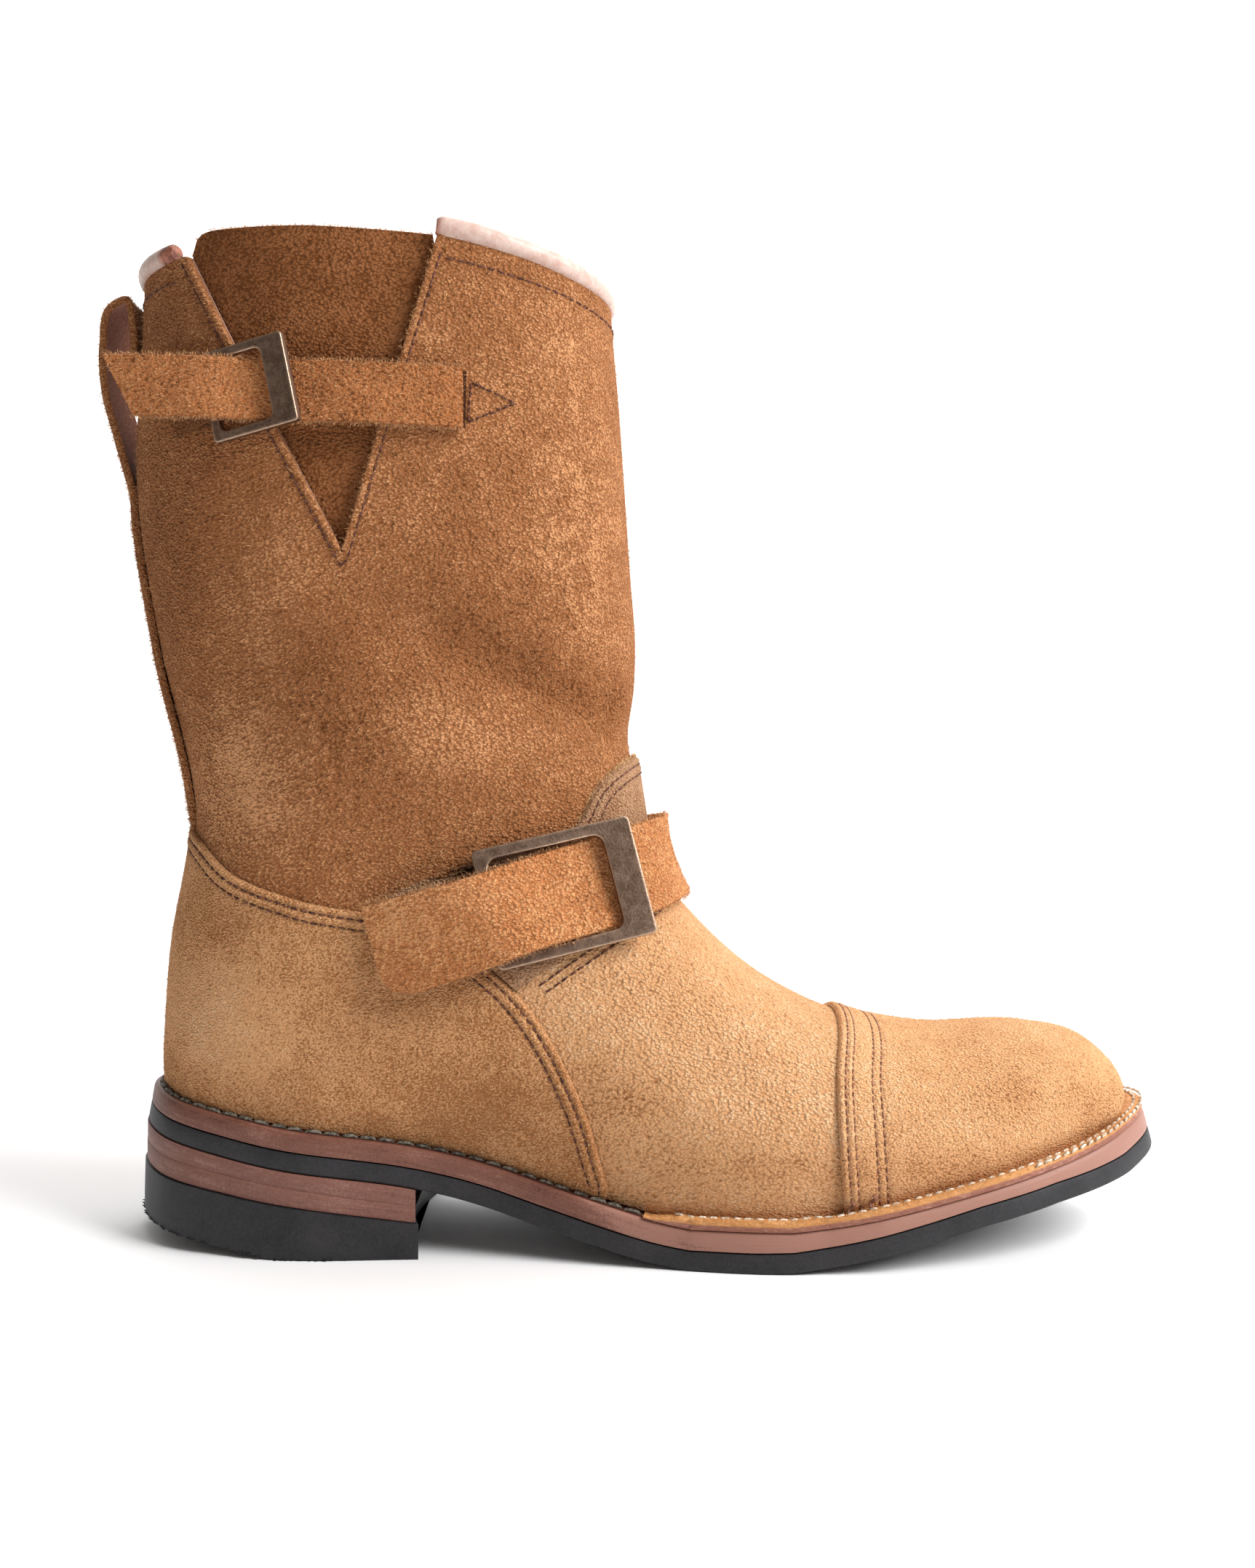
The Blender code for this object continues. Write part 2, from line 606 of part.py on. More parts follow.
def make_panels(parts, cutters):
    """Quarter, tongue and toe cap, each cut from a sheet that lies on the wall."""
    places = upper_places()[None, :]
    edge = smooth_path(QUARTER_TOP + QUARTER_FRONT, 24)
    low = seat_edge(edge[-1, 0] + SEAT, FEATHER_ENDS[0] - SEAT)
    low = low[low[:, 0] < edge[-1, 0] + 1]
    behind = [(BACK_REACH, low[-1, 1]), (BACK_REACH, edge[0, 1])]
    quarter_outline = np.vstack([edge, low, behind])
    rows = foot_rows(ROW["ball"], ROW["counter_top"] + 1)
    quarter = leather("quarter", rows[:, None], places, GAP, OVERLAY, FOOT_SUEDE, parts)
    cut(quarter, prism("quarter_outline", quarter_outline, cutters), "INTERSECT")

    outline = np.vstack([smooth_path(TONGUE_TOP, 16), smooth_path(TONGUE_FOOT, 9)])
    rows = foot_rows(ROW["ball"], ROW["heel_back"] + 1)
    tongue = leather("tongue", rows[:, None], places, GAP, OVERLAY, FOOT_SUEDE, parts)
    cut(tongue, prism("tongue_outline", outline, cutters), "INTERSECT")
    cut(tongue, prism("quarter_clear", quarter_outline + GAP, cutters), "DIFFERENCE")

    low = seat_edge(CAP_FOOT, FEATHER_ENDS[1] + SEAT)
    beyond = [(FRONT_REACH, low[-1, 1]), (FRONT_REACH, CAP_EDGE[0][1])]
    outline = np.vstack([smooth_path(CAP_EDGE, 12), low, beyond])
    rows = foot_rows(0, ROW["ball"])
    cap = leather("toe_cap", rows[:, None], places, 1.5 * GAP, OVERLAY, FOOT_SUEDE, parts)
    cut(cap, prism("cap_outline", outline, cutters), "INTERSECT")

    rows = foot_rows(ROW["counter_top"], ROW["above_collar"])
    places = np.linspace(*GUSSET_PLACES, 15)[None, :]
    gusset = leather("gusset", rows[:, None], places, -WALL - GUSSET_CLEAR, -GUSSET, SHAFT_SUEDE, parts)
    outline = prism("gusset_outline", GUSSET_FRONT + GUSSET_BACK, cutters, y_to=GUSSET_INNER_Y)
    cut(gusset, outline, "INTERSECT")


def make_piping(parts):
    """Rolled edge along the collar, from one side of the notch round the back to the other."""
    outer = np.linspace(-1, 0, 81)
    rim = surface(collar_row(outer), outer, 0)
    behind = np.interp(PIPING_ENDS[0], rim[:, 0], outer)
    front = np.interp(PIPING_ENDS[1], rim[:, 0], outer)
    places = np.concatenate([np.linspace(front, 1, 36), np.linspace(-1, behind, 7)[1:]])
    line = surface(collar_row(places), places, -WALL / 2)
    line[:, 2] += PIPING_RADIUS + GAP
    curve = bpy.data.curves.new("collar_piping", "CURVE")
    curve.dimensions = "3D"
    curve.bevel_depth = PIPING_RADIUS * MM
    curve.bevel_resolution = 1
    curve.use_fill_caps = True
    spline = curve.splines.new("POLY")
    spline.points.add(len(line) - 1)
    for point, place in zip(spline.points, line):
        point.co = (*(place * MM), 1)
    add_piece("collar_piping", curve, PIPING_LEATHER, parts)


def make_pull_loop(parts):
    """Strip sewn down the back seam, standing off at the top as a loop."""
    rows = np.linspace(ROW["counter_top"], ROW["calf"], 60)
    back = last_surface(rows, 1.0)[:, [0, 2]]
    z = np.linspace(PULL_SEWN, PULL_LOW, 12)
    low = np.column_stack([np.interp(z, back[:, 1], back[:, 0]) - 3 * GAP - STRAP / 2, z])
    centre = smooth_path(np.vstack([PULL_RISE, PULL_FALL, low]), 34)
    along = np.gradient(centre, axis=0)
    normal = np.column_stack([along[:, 1], -along[:, 0]])
    normal /= np.linalg.norm(normal, axis=1, keepdims=True)
    lanes = np.linspace(-PULL_WIDTH / 2, PULL_WIDTH / 2, 3)
    hollow = lanes**2 / (2 * PULL_CURVE)
    inner = np.zeros((len(centre), len(lanes), 3))
    inner[..., 0] = (centre[:, 0] - normal[:, 0] * STRAP / 2)[:, None] + hollow
    inner[..., 1] = lanes
    inner[..., 2] = (centre[:, 1] - normal[:, 1] * STRAP / 2)[:, None]
    outward = np.zeros_like(inner)
    outward[..., 0] = normal[:, :1]
    outward[..., 2] = normal[:, 1:]
    ribbon("pull_loop", inner, outward, STRAP, SHAFT_SUEDE, parts)


def instep_lane(shift, along):
    """Points and normals on the upper along the instep strap, shift above its middle."""
    square = np.array([-math.sin(INSTEP_SLOPE), 0, math.cos(INSTEP_SLOPE)])
    level = square @ np.array([INSTEP_CROSSING[0], 0, INSTEP_CROSSING[1]]) + shift
    places = np.linspace(-0.92, 0.92, 93)
    rows = np.linspace(ROW["cap_edge"], ROW["counter_top"], 181)
    over = last_surface(rows[:, None], places[None, :]) @ square - level
    crossing = np.array([np.interp(0, over[:, place], rows) for place in range(len(places))])
    line = last_surface(crossing, places)
    run = chords(line)
    run = run[len(places) // 2] - run
    order = np.argsort(run)
    pick = [np.interp(along, run[order], column[order]) for column in (crossing, places)]
    return last_surface(*pick), surface_normal(*pick)


def make_instep_strap(parts):
    """Band over the instep, through the frame, with its rounded free end on the outer side."""
    start, end = INSTEP_RIDE[0].along, INSTEP_RIDE[-1].along
    tip = end - INSTEP_END_ROUND
    along = np.concatenate([np.linspace(start, tip, 30), np.linspace(tip, end, 7)[1:]])
    knots = [row.along for row in INSTEP_RIDE]
    low, high = (smooth(knots, column, along) for column in list(zip(*INSTEP_RIDE))[1:])
    turn = np.arccos(np.clip((along - tip) / INSTEP_END_ROUND, 0, 1))
    lower_edge = (1 - np.sin(turn)) * INSTEP_END_ROUND
    lower_edge -= np.interp(along, [INSTEP_BACK_BAR, end], [0, INSTEP_FLARE])
    lanes = np.linspace(-INSTEP_WIDTH / 2 - INSTEP_FLARE, INSTEP_WIDTH / 2, 6)
    inner, outward = [], []
    for shift in lanes:
        share = shift / INSTEP_WIDTH + 0.5
        line, normal = instep_lane(shift, along)
        inner.append(line + normal * (low + (high - low) * share)[:, None])
        outward.append(normal)
    inner, outward = np.stack(inner, axis=1), np.stack(outward, axis=1)
    shares = np.linspace(0, 1, 4)
    kept = (shares - 0.5) * INSTEP_WIDTH + (1 - shares) * lower_edge[:, None]
    inner, outward = (
        np.array([[np.interp(at, lanes, column) for column in place.T] for at, place in zip(kept, grid)])
        for grid in (inner, outward)
    )
    inner, outward = inner.transpose(0, 2, 1), outward.transpose(0, 2, 1)
    ribbon("instep_strap", inner, outward, STRAP, SHAFT_SUEDE, parts)


def make_shaft_strap(parts):
    """Straight band across the notch, sewn at its front end and free at the back."""
    line = smooth_path(SHAFT_FRONT + SHAFT_BACK, 24)
    along = np.gradient(line, axis=0)
    out = np.column_stack([-along[:, 1], along[:, 0]])
    out /= np.linalg.norm(out, axis=1, keepdims=True)
    lanes = np.linspace(-SHAFT_WIDTH / 2, SHAFT_WIDTH / 2, 3)
    near_end = np.interp(line[:, 0], [SHAFT_BACK[-1][0], SHAFT_END_RUN], [1, 0])[:, None]
    slant = near_end * (lanes[::-1] / SHAFT_WIDTH + 0.5) * SHAFT_END_CUT
    level = np.interp(line[:, 0], [SHAFT_BACK[-1][0], SHAFT_FRONT[0][0]], [SHAFT_BACK_Z, SHAFT_FRONT_Z])
    inner = np.zeros((len(line), len(lanes), 3))
    inner[..., 0] = line[:, :1] + slant
    inner[..., 1] = line[:, 1:]
    inner[..., 2] = level[:, None] + lanes
    outward = np.zeros_like(inner)
    outward[..., :2] = out[:, None, :]
    ribbon("shaft_strap", inner, outward, STRAP, SHAFT_SUEDE, parts)


def frame_pose(frame, front_bar, back_bar, out):
    """Centre of a frame, and its directions along, across and out, from the middles of its two bars."""
    along = np.subtract(front_bar, back_bar)
    along /= np.linalg.norm(along)
    out = out - along * (out @ along)
    out /= np.linalg.norm(out)
    across = np.cross(out, along)
    swing = math.cos(frame.turn), math.sin(frame.turn)
    along, across = along * swing[0] + across * swing[1], across * swing[0] - along * swing[1]
    span = frame.length - (frame.front_bar + frame.bar) / 2
    middle = np.add(front_bar, back_bar) / 2
    centre = middle + along * (span / 2 + frame.front_bar / 2 - frame.length / 2)
    return centre, np.stack([along, across, out])


def rounded_box(left, right, height, corner):
    """Outline of a rectangle between two places, with round corners."""
    arc = np.linspace(0, math.pi / 2, 4)
    x, y = corner * np.cos(arc), corner * np.sin(arc)
    far, top = right - corner, height / 2 - corner
    near = left + corner
    quarters = [(far + x, top + y), (near - y, top + x), (near - x, -top - y), (far + y, -top - x)]
    return np.concatenate([np.column_stack(quarter) for quarter in quarters])


def make_frame(frame, pose, parts):
    """Cast frame with a wide front bar: an outline with a window, given its thickness."""
    curve = bpy.data.curves.new(frame.name, "CURVE")
    curve.dimensions = "2D"
    curve.fill_mode = "BOTH"
    curve.extrude = (FRAME_THICK / 2 - FRAME_EDGE) * MM
    curve.bevel_depth = FRAME_EDGE * MM
    curve.bevel_resolution = 0
    curve.offset = -FRAME_EDGE * MM
    half = frame.length / 2
    outlines = [
        rounded_box(-half, half, frame.height, frame.corner),
        rounded_box(-half + frame.bar, half - frame.front_bar, frame.height - 2 * frame.bar, 2 * frame.corner),
    ]
    for outline in outlines:
        spline = curve.splines.new("POLY")
        spline.points.add(len(outline) - 1)
        spline.use_cyclic_u = True
        for point, (x, y) in zip(spline.points, outline):
            point.co = (x * MM, y * MM, 0, 1)
    piece = add_piece(frame.name, curve, BRASS, parts)
    centre, axes = pose
    piece.matrix_basis = Matrix.Translation(Vector(centre) * MM) @ Matrix(axes.T.tolist()).to_4x4()


def make_chape(chape, frame, pose, parts):
    """Strip that lies on the upper, turns round the back bar of a frame and returns on top of itself."""
    centre, axes = pose
    rows = np.linspace(ROW["waist"], ROW["above_collar"], 240)
    points = last_surface(rows[:, None], np.linspace(-0.95, -0.2, 160)[None, :]).reshape(-1, 3)
    along, across, out = ((points - centre) @ axes.T).T
    near = (np.abs(across) < chape.width / 2 + 1) & (np.abs(out) < 30)
    bar = -frame.length / 2 + frame.bar / 2
    half_turn = FRAME_THICK / 2 + 2 * GAP + CHAPE / 2
    clear = frame.bar / 2 + 3 * GAP + CHAPE / 2

    def lying(run):
        """Height of the strip's middle where it lies on the upper, at a distance behind the bar."""
        rise = [out[near & (np.abs(along - bar + place) < 1)].max() for place in run]
        return np.minimum(np.array(rise) + chape.lift + CHAPE / 2, -half_turn)

    under = np.linspace(chape.under, clear, 5)
    over = np.linspace(2 * clear, chape.over, 4)
    stack = np.interp(over, [clear, 3 * clear], [2 * half_turn, CHAPE + GAP])
    path = [(bar - run, height) for run, height in zip(under, lying(under))]
    path += [(bar + clear * math.sin(turn), -half_turn * math.cos(turn)) for turn in np.linspace(0, math.pi, 7)]
    path += [(bar - run, height) for run, height in zip(over, lying(over) + stack)]
    path = smooth_path(path, 28)
    run = np.gradient(path, axis=0)
    side = np.column_stack([-run[:, 1], run[:, 0]]) * CHAPE / 2
    side /= np.linalg.norm(run, axis=1, keepdims=True)
    corners = [(path + side, -1), (path + side, 1), (path - side, 1), (path - side, -1)]
    half = axes[1] * chape.width / 2
    rings = [centre + line @ axes[[0, 2]] + half * reach for line, reach in corners]
    loft(chape.name, np.stack(rings, axis=1), SHAFT_SUEDE, parts)


def make_buckles(parts):
    """The two frames, each held by a folded strip at its back bar."""
    (front, back), (front_out, back_out) = instep_lane(0, [INSTEP_FRONT_BAR, INSTEP_BACK_BAR])
    front = front + front_out * INSTEP_FRONT_LIFT
    back = back + back_out * INSTEP_BACK_LIFT
    pose = frame_pose(INSTEP_FRAME, front, back, np.array(INSTEP_OUT))
    make_frame(INSTEP_FRAME, pose, parts)
    make_chape(INSTEP_CHAPE, INSTEP_FRAME, pose, parts)
    pose = frame_pose(SHAFT_FRAME, SHAFT_FRONT_BAR, SHAFT_BACK_BAR, np.array([0.0, -1.0, 0.0]))
    make_frame(SHAFT_FRAME, pose, parts)
    make_chape(SHAFT_CHAPE, SHAFT_FRAME, pose, parts)


def stand_on_origin(parts, cutters):
    """Carry every piece on one empty that puts the origin on the floor under the middle of the boot."""
    bpy.context.view_layer.update()
    depsgraph = bpy.context.evaluated_depsgraph_get()
    corners = []
    for piece in parts.objects:
        shown = piece.evaluated_get(depsgraph)
        corners += [piece.matrix_basis @ vert.co for vert in shown.to_mesh().vertices]
        shown.to_mesh_clear()
    low, high = np.min(corners, axis=0), np.max(corners, axis=0)
    carrier = bpy.data.objects.new("boot", None)
    carrier.location = (-(low[0] + high[0]) / 2, -(low[1] + high[1]) / 2, -low[2])
    for piece in [*parts.objects, *cutters.objects]:
        piece.parent = carrier
    parts.objects.link(carrier)


def main():
    for old in list(bpy.data.objects):
        bpy.data.objects.remove(old)
    parts = bpy.data.collections.new("engineer_boot")
    cutters = bpy.data.collections.new("cutters")
    for collection in (parts, cutters):
        bpy.context.scene.collection.children.link(collection)
    seat_trim = make_sole(parts, cutters)
    make_welt(parts)
    make_heel(parts, cutters)
    make_upper(parts, cutters, seat_trim)
    make_panels(parts, cutters)
    make_piping(parts)
    make_pull_loop(parts)
    make_instep_strap(parts)
    make_shaft_strap(parts)
    make_buckles(parts)
    stand_on_origin(parts, cutters)


main()
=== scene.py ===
import math

import bpy
import numpy as np
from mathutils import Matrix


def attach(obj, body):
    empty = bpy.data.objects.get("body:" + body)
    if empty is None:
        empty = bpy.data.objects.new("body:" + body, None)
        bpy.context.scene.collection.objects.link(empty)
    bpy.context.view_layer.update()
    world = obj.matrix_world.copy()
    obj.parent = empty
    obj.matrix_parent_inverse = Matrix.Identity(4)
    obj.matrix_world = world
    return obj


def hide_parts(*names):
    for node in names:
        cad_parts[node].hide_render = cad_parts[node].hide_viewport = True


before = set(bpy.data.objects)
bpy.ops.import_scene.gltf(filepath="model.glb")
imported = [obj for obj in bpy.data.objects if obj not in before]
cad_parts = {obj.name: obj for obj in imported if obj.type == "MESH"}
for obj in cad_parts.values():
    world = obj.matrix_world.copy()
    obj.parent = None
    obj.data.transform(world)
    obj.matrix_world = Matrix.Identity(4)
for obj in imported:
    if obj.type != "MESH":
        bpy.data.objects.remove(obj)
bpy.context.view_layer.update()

# Outsole: a sheet of black rubber cut to the outline of the last and bent to its arch and toe spring.
# It is cemented under the leather midsole, and the two edges are trimmed together.
MM = 0.001
DRAWN_ORIGIN = np.array([145.923, 0.173, 0.0])
OUTSOLE = 5.6
TREAD_X = [0, 44, 84, 102, 120, 136, 152, 176, 200, 224, 250, 280, 306]
TREAD_Z = [33.0, 25.3, 19.6, 15.4, 10.0, 5.4, 1.4, -0.8, 1.0, 5.0, 10.4, 17.2, 24.2]
LEDGE_X = [4, 40, 200, 216, 262, 296]
LEDGE_WIDTH = [4.2, 5.0, 6.5, 8.2, 8.4, 9.8]
FEATHER_X = [4, 12.5, 36, 100, 150, 190, 228, 262, 286.5, 295.8, 287.5, 264, 226, 188, 150, 108, 36, 12.5]
FEATHER_Y = [0, -19, -29.3, -30.5, -38.5, -43.6, -39.4, -30, -13, 4, 21, 36, 42.8, 40, 29.5, 24.5, 29.3, 19]
FEATHER = np.column_stack([FEATHER_X, FEATHER_Y])


def smooth(knots, values, at):
    """Cubic curve through values at rising knots, with each slope taken from the neighbours."""
    knots, values, at = (np.asarray(given, float) for given in (knots, values, at))
    slopes = np.gradient(values, knots)
    left = np.clip(np.searchsorted(knots, at, side="right") - 1, 0, len(knots) - 2)
    span = knots[left + 1] - knots[left]
    t = (at - knots[left]) / span
    start, end = values[left], values[left + 1]
    leave, arrive = slopes[left] * span, slopes[left + 1] * span
    bend = t * t * (3 - 2 * t)
    return start + (end - start) * bend + t * (1 - t) * (leave * (1 - t) - arrive * t)


def chords(points):
    """Distance along a run of points, from the first."""
    return np.concatenate([[0], np.cumsum(np.linalg.norm(np.diff(points, axis=0), axis=1))])


def unit(vectors):
    """Vectors of the same directions, each one long."""
    return vectors / np.linalg.norm(vectors, axis=-1, keepdims=True)


def feather_loop(grow, count=721):
    """Line where the upper meets the sole, seen from above, moved out by a distance or by grow(x)."""
    wrap = 3
    ring = np.vstack([FEATHER[-wrap:], FEATHER, FEATHER[: wrap + 1]])
    knots = chords(ring)
    at = np.linspace(knots[wrap], knots[wrap + len(FEATHER)], count)
    line = np.column_stack([smooth(knots, column, at) for column in ring.T])
    along = np.gradient(line, axis=0)
    along[0] = along[-1] = along[0] + along[-1]
    out = unit(np.column_stack([along[:, 1], -along[:, 0]]))
    width = grow(line[:, 0]) if callable(grow) else np.full(len(line), grow)
    return line + out * width[:, None]


def ledge(x):
    """Width of the sole beyond the upper at places x."""
    return np.interp(x, LEDGE_X, LEDGE_WIDTH)


def tread_height(x):
    """Height of the outsole's underside above the floor."""
    return np.maximum(smooth(TREAD_X, TREAD_Z, x), 0)


def sole_point(x, y, height):
    """Points at a height above the tread, square to it."""
    x = np.asarray(x, float)
    slope = (tread_height(x + 1) - tread_height(x - 1)) / 2
    length = np.hypot(1, slope)
    x, y, z = np.broadcast_arrays(x - slope / length * height, y, tread_height(x) + height / length)
    return np.stack([x, y, z], axis=-1)


def grid_faces(rows, columns, start=0, closed=False):
    """Corner numbers of the faces of a grid of points, row by row."""
    row, column = np.meshgrid(np.arange(rows - 1), np.arange(columns - (not closed)), indexing="ij")
    after = (column + 1) % columns
    low, high = row * columns, (row + 1) * columns
    corners = np.stack([low + column, low + after, high + after, high + column], axis=-1)
    return (start + corners).reshape(-1, 4).tolist()


def add_piece(name, points, faces, finish, slot, nodes=(), marks=None):
    """A piece that rides on the boot, from points drawn in millimetres, with marks for its finish to read."""
    mesh = bpy.data.meshes.new(name)
    mesh.from_pydata(((np.asarray(points).reshape(-1, 3) - DRAWN_ORIGIN) * MM).tolist(), [], faces)
    mesh.shade_smooth()
    mesh.set_sharp_from_angle(angle=math.radians(50))
    for mark, values in (marks or {}).items():
        vector = np.ndim(values) == 2
        layer = mesh.attributes.new(mark, "FLOAT_VECTOR" if vector else "FLOAT", "POINT")
        layer.data.foreach_set("vector" if vector else "value", np.ravel(values).astype(np.float32))
    mesh.materials.append(finish)
    piece = bpy.data.objects.new(name, mesh)
    bpy.context.scene.collection.objects.link(piece)
    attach(piece, "root")
    if nodes:
        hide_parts(*nodes)
    return piece


def new_finish(name, roughness, specular=0.3):
    """A bare finish: the material, its node tree and its shader."""
    finish = bpy.data.materials.new(name)
    finish.use_nodes = True
    shader = finish.node_tree.nodes["Principled BSDF"]
    shader.inputs["Roughness"].default_value = roughness
    shader.inputs["Specular IOR Level"].default_value = specular
    return finish, finish.node_tree, shader


def mark_of(tree, name, vector=False):
    """Output of a mark that the mesh carries."""
    node = tree.nodes.new("ShaderNodeAttribute")
    node.attribute_name = name
    return node.outputs["Vector" if vector else "Fac"]


def grain(tree, scale, detail=3.0, stretch=(1, 1, 1), turn=(0, 0, 0), way=None):
    """Noise of a scale in cells per metre, stretched and turned, along the boot or along a mark."""
    source = mark_of(tree, way, True) if way else tree.nodes.new("ShaderNodeTexCoord").outputs["Object"]
    lay = tree.nodes.new("ShaderNodeMapping")
    lay.inputs["Rotation"].default_value = turn
    lay.inputs["Scale"].default_value = stretch
    tree.links.new(source, lay.inputs["Vector"])
    noise = tree.nodes.new("ShaderNodeTexNoise")
    noise.inputs["Scale"].default_value = scale
    noise.inputs["Detail"].default_value = detail
    noise.inputs["Roughness"].default_value = 0.62
    tree.links.new(lay.outputs["Vector"], noise.inputs["Vector"])
    return noise.outputs[0]


def weigh(tree, *pairs, base=0.0):
    """Sum of outputs, each times its weight."""
    total = None
    for output, weight in pairs:
        node = tree.nodes.new("ShaderNodeMath")
        node.operation = "MULTIPLY_ADD"
        tree.links.new(output, node.inputs[0])
        node.inputs[1].default_value = weight
        node.inputs[2].default_value = base
        if total is not None:
            tree.links.new(total, node.inputs[2])
        total = node.outputs[0]
    return total


def tint(tree, factor, stops):
    """Colour from dark to light along a factor, through (place, colour) stops."""
    ramp = tree.nodes.new("ShaderNodeValToRGB")
    ramp.color_ramp.interpolation = "EASE"
    while len(ramp.color_ramp.elements) < len(stops):
        ramp.color_ramp.elements.new(0.5)
    for element, (place, colour) in zip(ramp.color_ramp.elements, stops):
        element.position = place
        element.color = (*colour, 1)
    tree.links.new(factor, ramp.inputs["Fac"])
    return ramp.outputs["Color"]


def paint(tree, shader, factor, stops):
    """Colour of the surface along a factor, through (place, colour) stops."""
    tree.links.new(tint(tree, factor, stops), shader.inputs["Base Color"])


def relief(tree, shader, height, distance, strength=1.0):
    """Fine relief of the surface from a height."""
    bump = tree.nodes.new("ShaderNodeBump")
    bump.inputs["Strength"].default_value = strength
    bump.inputs["Distance"].default_value = distance
    tree.links.new(height, bump.inputs["Height"])
    tree.links.new(bump.outputs["Normal"], shader.inputs["Normal"])


SPRING_X = [180, 215, 245, 268, 292]
SPRING = [0, 1.2, 2.3, 1.8, 0]


def sprung(x, height):
    """Height above the tread of the outsole and the midsole's underside, drawn up a little under the toe."""
    return height + np.interp(x, SPRING_X, SPRING) * np.clip((10 - height) / 3.6, 0, 1)


def end_strips(rows, count, strips):
    """Faces across the lowest and the highest of the rings of a solid, from side to side, facing outward."""
    place = np.arange(strips)
    top = np.stack([place, place + 1, (count - place - 1) % count, (count - place) % count], axis=-1)
    both = np.vstack([top[:, ::-1], (rows - 1) * count + top])
    return [list(dict.fromkeys(face)) for face in both.tolist()]


def sole_layer(profile, rim=ledge, count=480):
    """A layer of the sole from (inset, height above the tread) pairs round its edge, and its marks."""
    loops = [feather_loop(lambda x, inset=inset: rim(x) - inset, count + 1)[:-1] for inset, _ in profile]
    rings = [sole_point(*loop.T, sprung(loop[:, 0], high)) for loop, (_, high) in zip(loops, profile)]
    lay = [np.column_stack([loop, np.full(count, high)]) for loop, (_, high) in zip(loops, profile)]
    faces = grid_faces(len(rings), count, closed=True) + end_strips(len(rings), count, count // 2)
    return np.concatenate(rings), faces, {"lay": np.concatenate(lay) * MM}


rubber, tree, shader = new_finish("sole_rubber", 0.55, 0.35)
dust = weigh(tree, (grain(tree, 1300, 4), 0.5), (grain(tree, 70, 3), 0.5))
paint(tree, shader, dust, [(0.3, (0.009, 0.009, 0.0105)), (0.75, (0.030, 0.028, 0.031))])
relief(tree, shader, dust, 0.0003, 0.5)
edge = [(2.0, 0.0), (0.7, 0.02), (0.2, 0.25), (0.0, 0.8), (0.0, 4.9), (0.15, 5.4), (1.2, OUTSOLE)]
points, faces, marks = sole_layer(edge)
add_piece("outsole_sheet", points, faces, rubber, "rubber", ["outsole"], marks)

# Midsole: a layer of dense reddish brown sole leather, its cut edge burnished along the grain.
# Its top shows as a ledge round the heel, where a thick waxed thread is sewn down beside the upper.
MIDSOLE_LOW = OUTSOLE + 0.05
MIDSOLE_TOP = 11.45
SEAT = 12.0


def cut_leather(name, deep, middle, pale, roughness):
    """Edge of sole leather, streaked along its layers."""
    finish, tree, shader = new_finish(name, roughness, 0.35)
    streak = grain(tree, 1.0, 4, stretch=(60, 60, 1500), way="lay")
    cloud = grain(tree, 1.0, 3, stretch=(45, 45, 160), way="lay")
    pore = grain(tree, 1500, 3)
    # This mark darkens the edge as painted shade, and lightens it as painted light where it is negative.
    gutter = mark_of(tree, "gutter")
    factor = weigh(tree, (streak, 0.36), (cloud, 0.6), (pore, 0.45), (gutter, -1.2), base=-0.205)
    paint(tree, shader, factor, [(0.28, deep), (0.5, middle), (0.78, pale)])
    relief(tree, shader, weigh(tree, (streak, 0.7), (pore, 0.3)), 0.0004, 0.6)
    return finish


MIDSOLE_BROWNS = (0.075, 0.025, 0.016), (0.165, 0.064, 0.042), (0.31, 0.150, 0.110)
sole_leather = cut_leather("sole_leather", *MIDSOLE_BROWNS, 0.5)
edge = [(1.2, MIDSOLE_LOW), (0.1, 5.9), (0.0, 6.4), (0.0, 10.0), (0.25, 10.8), (0.8, 11.3)]
edge += [(1.3, MIDSOLE_TOP), (1.8, MIDSOLE_TOP - 0.1), (5.5, MIDSOLE_TOP - 0.1)]
points, faces, marks = sole_layer(edge)
# The top of the ledge inside the seat seam is painted dark as shade where it runs in by the upper, and the
# whole edge is painted paler towards the toe as light falling from the right.
PAINTED_SHADE_FROM = 1.5
PAINTED_LIGHT_FROM, PAINTED_LIGHT_RUN, PAINTED_LIGHT = 120, 60, 0.36
in_painted_shade = [inset > PAINTED_SHADE_FROM for inset, _ in edge]
marks["gutter"] = np.repeat(in_painted_shade, len(points) // len(edge)).astype(float)
marks["gutter"] -= PAINTED_LIGHT * np.clip((points[:, 0] - PAINTED_LIGHT_FROM) / PAINTED_LIGHT_RUN, 0, 1)
add_piece("midsole_layer", points, faces, sole_leather, "sole_leather", ["midsole"], marks)


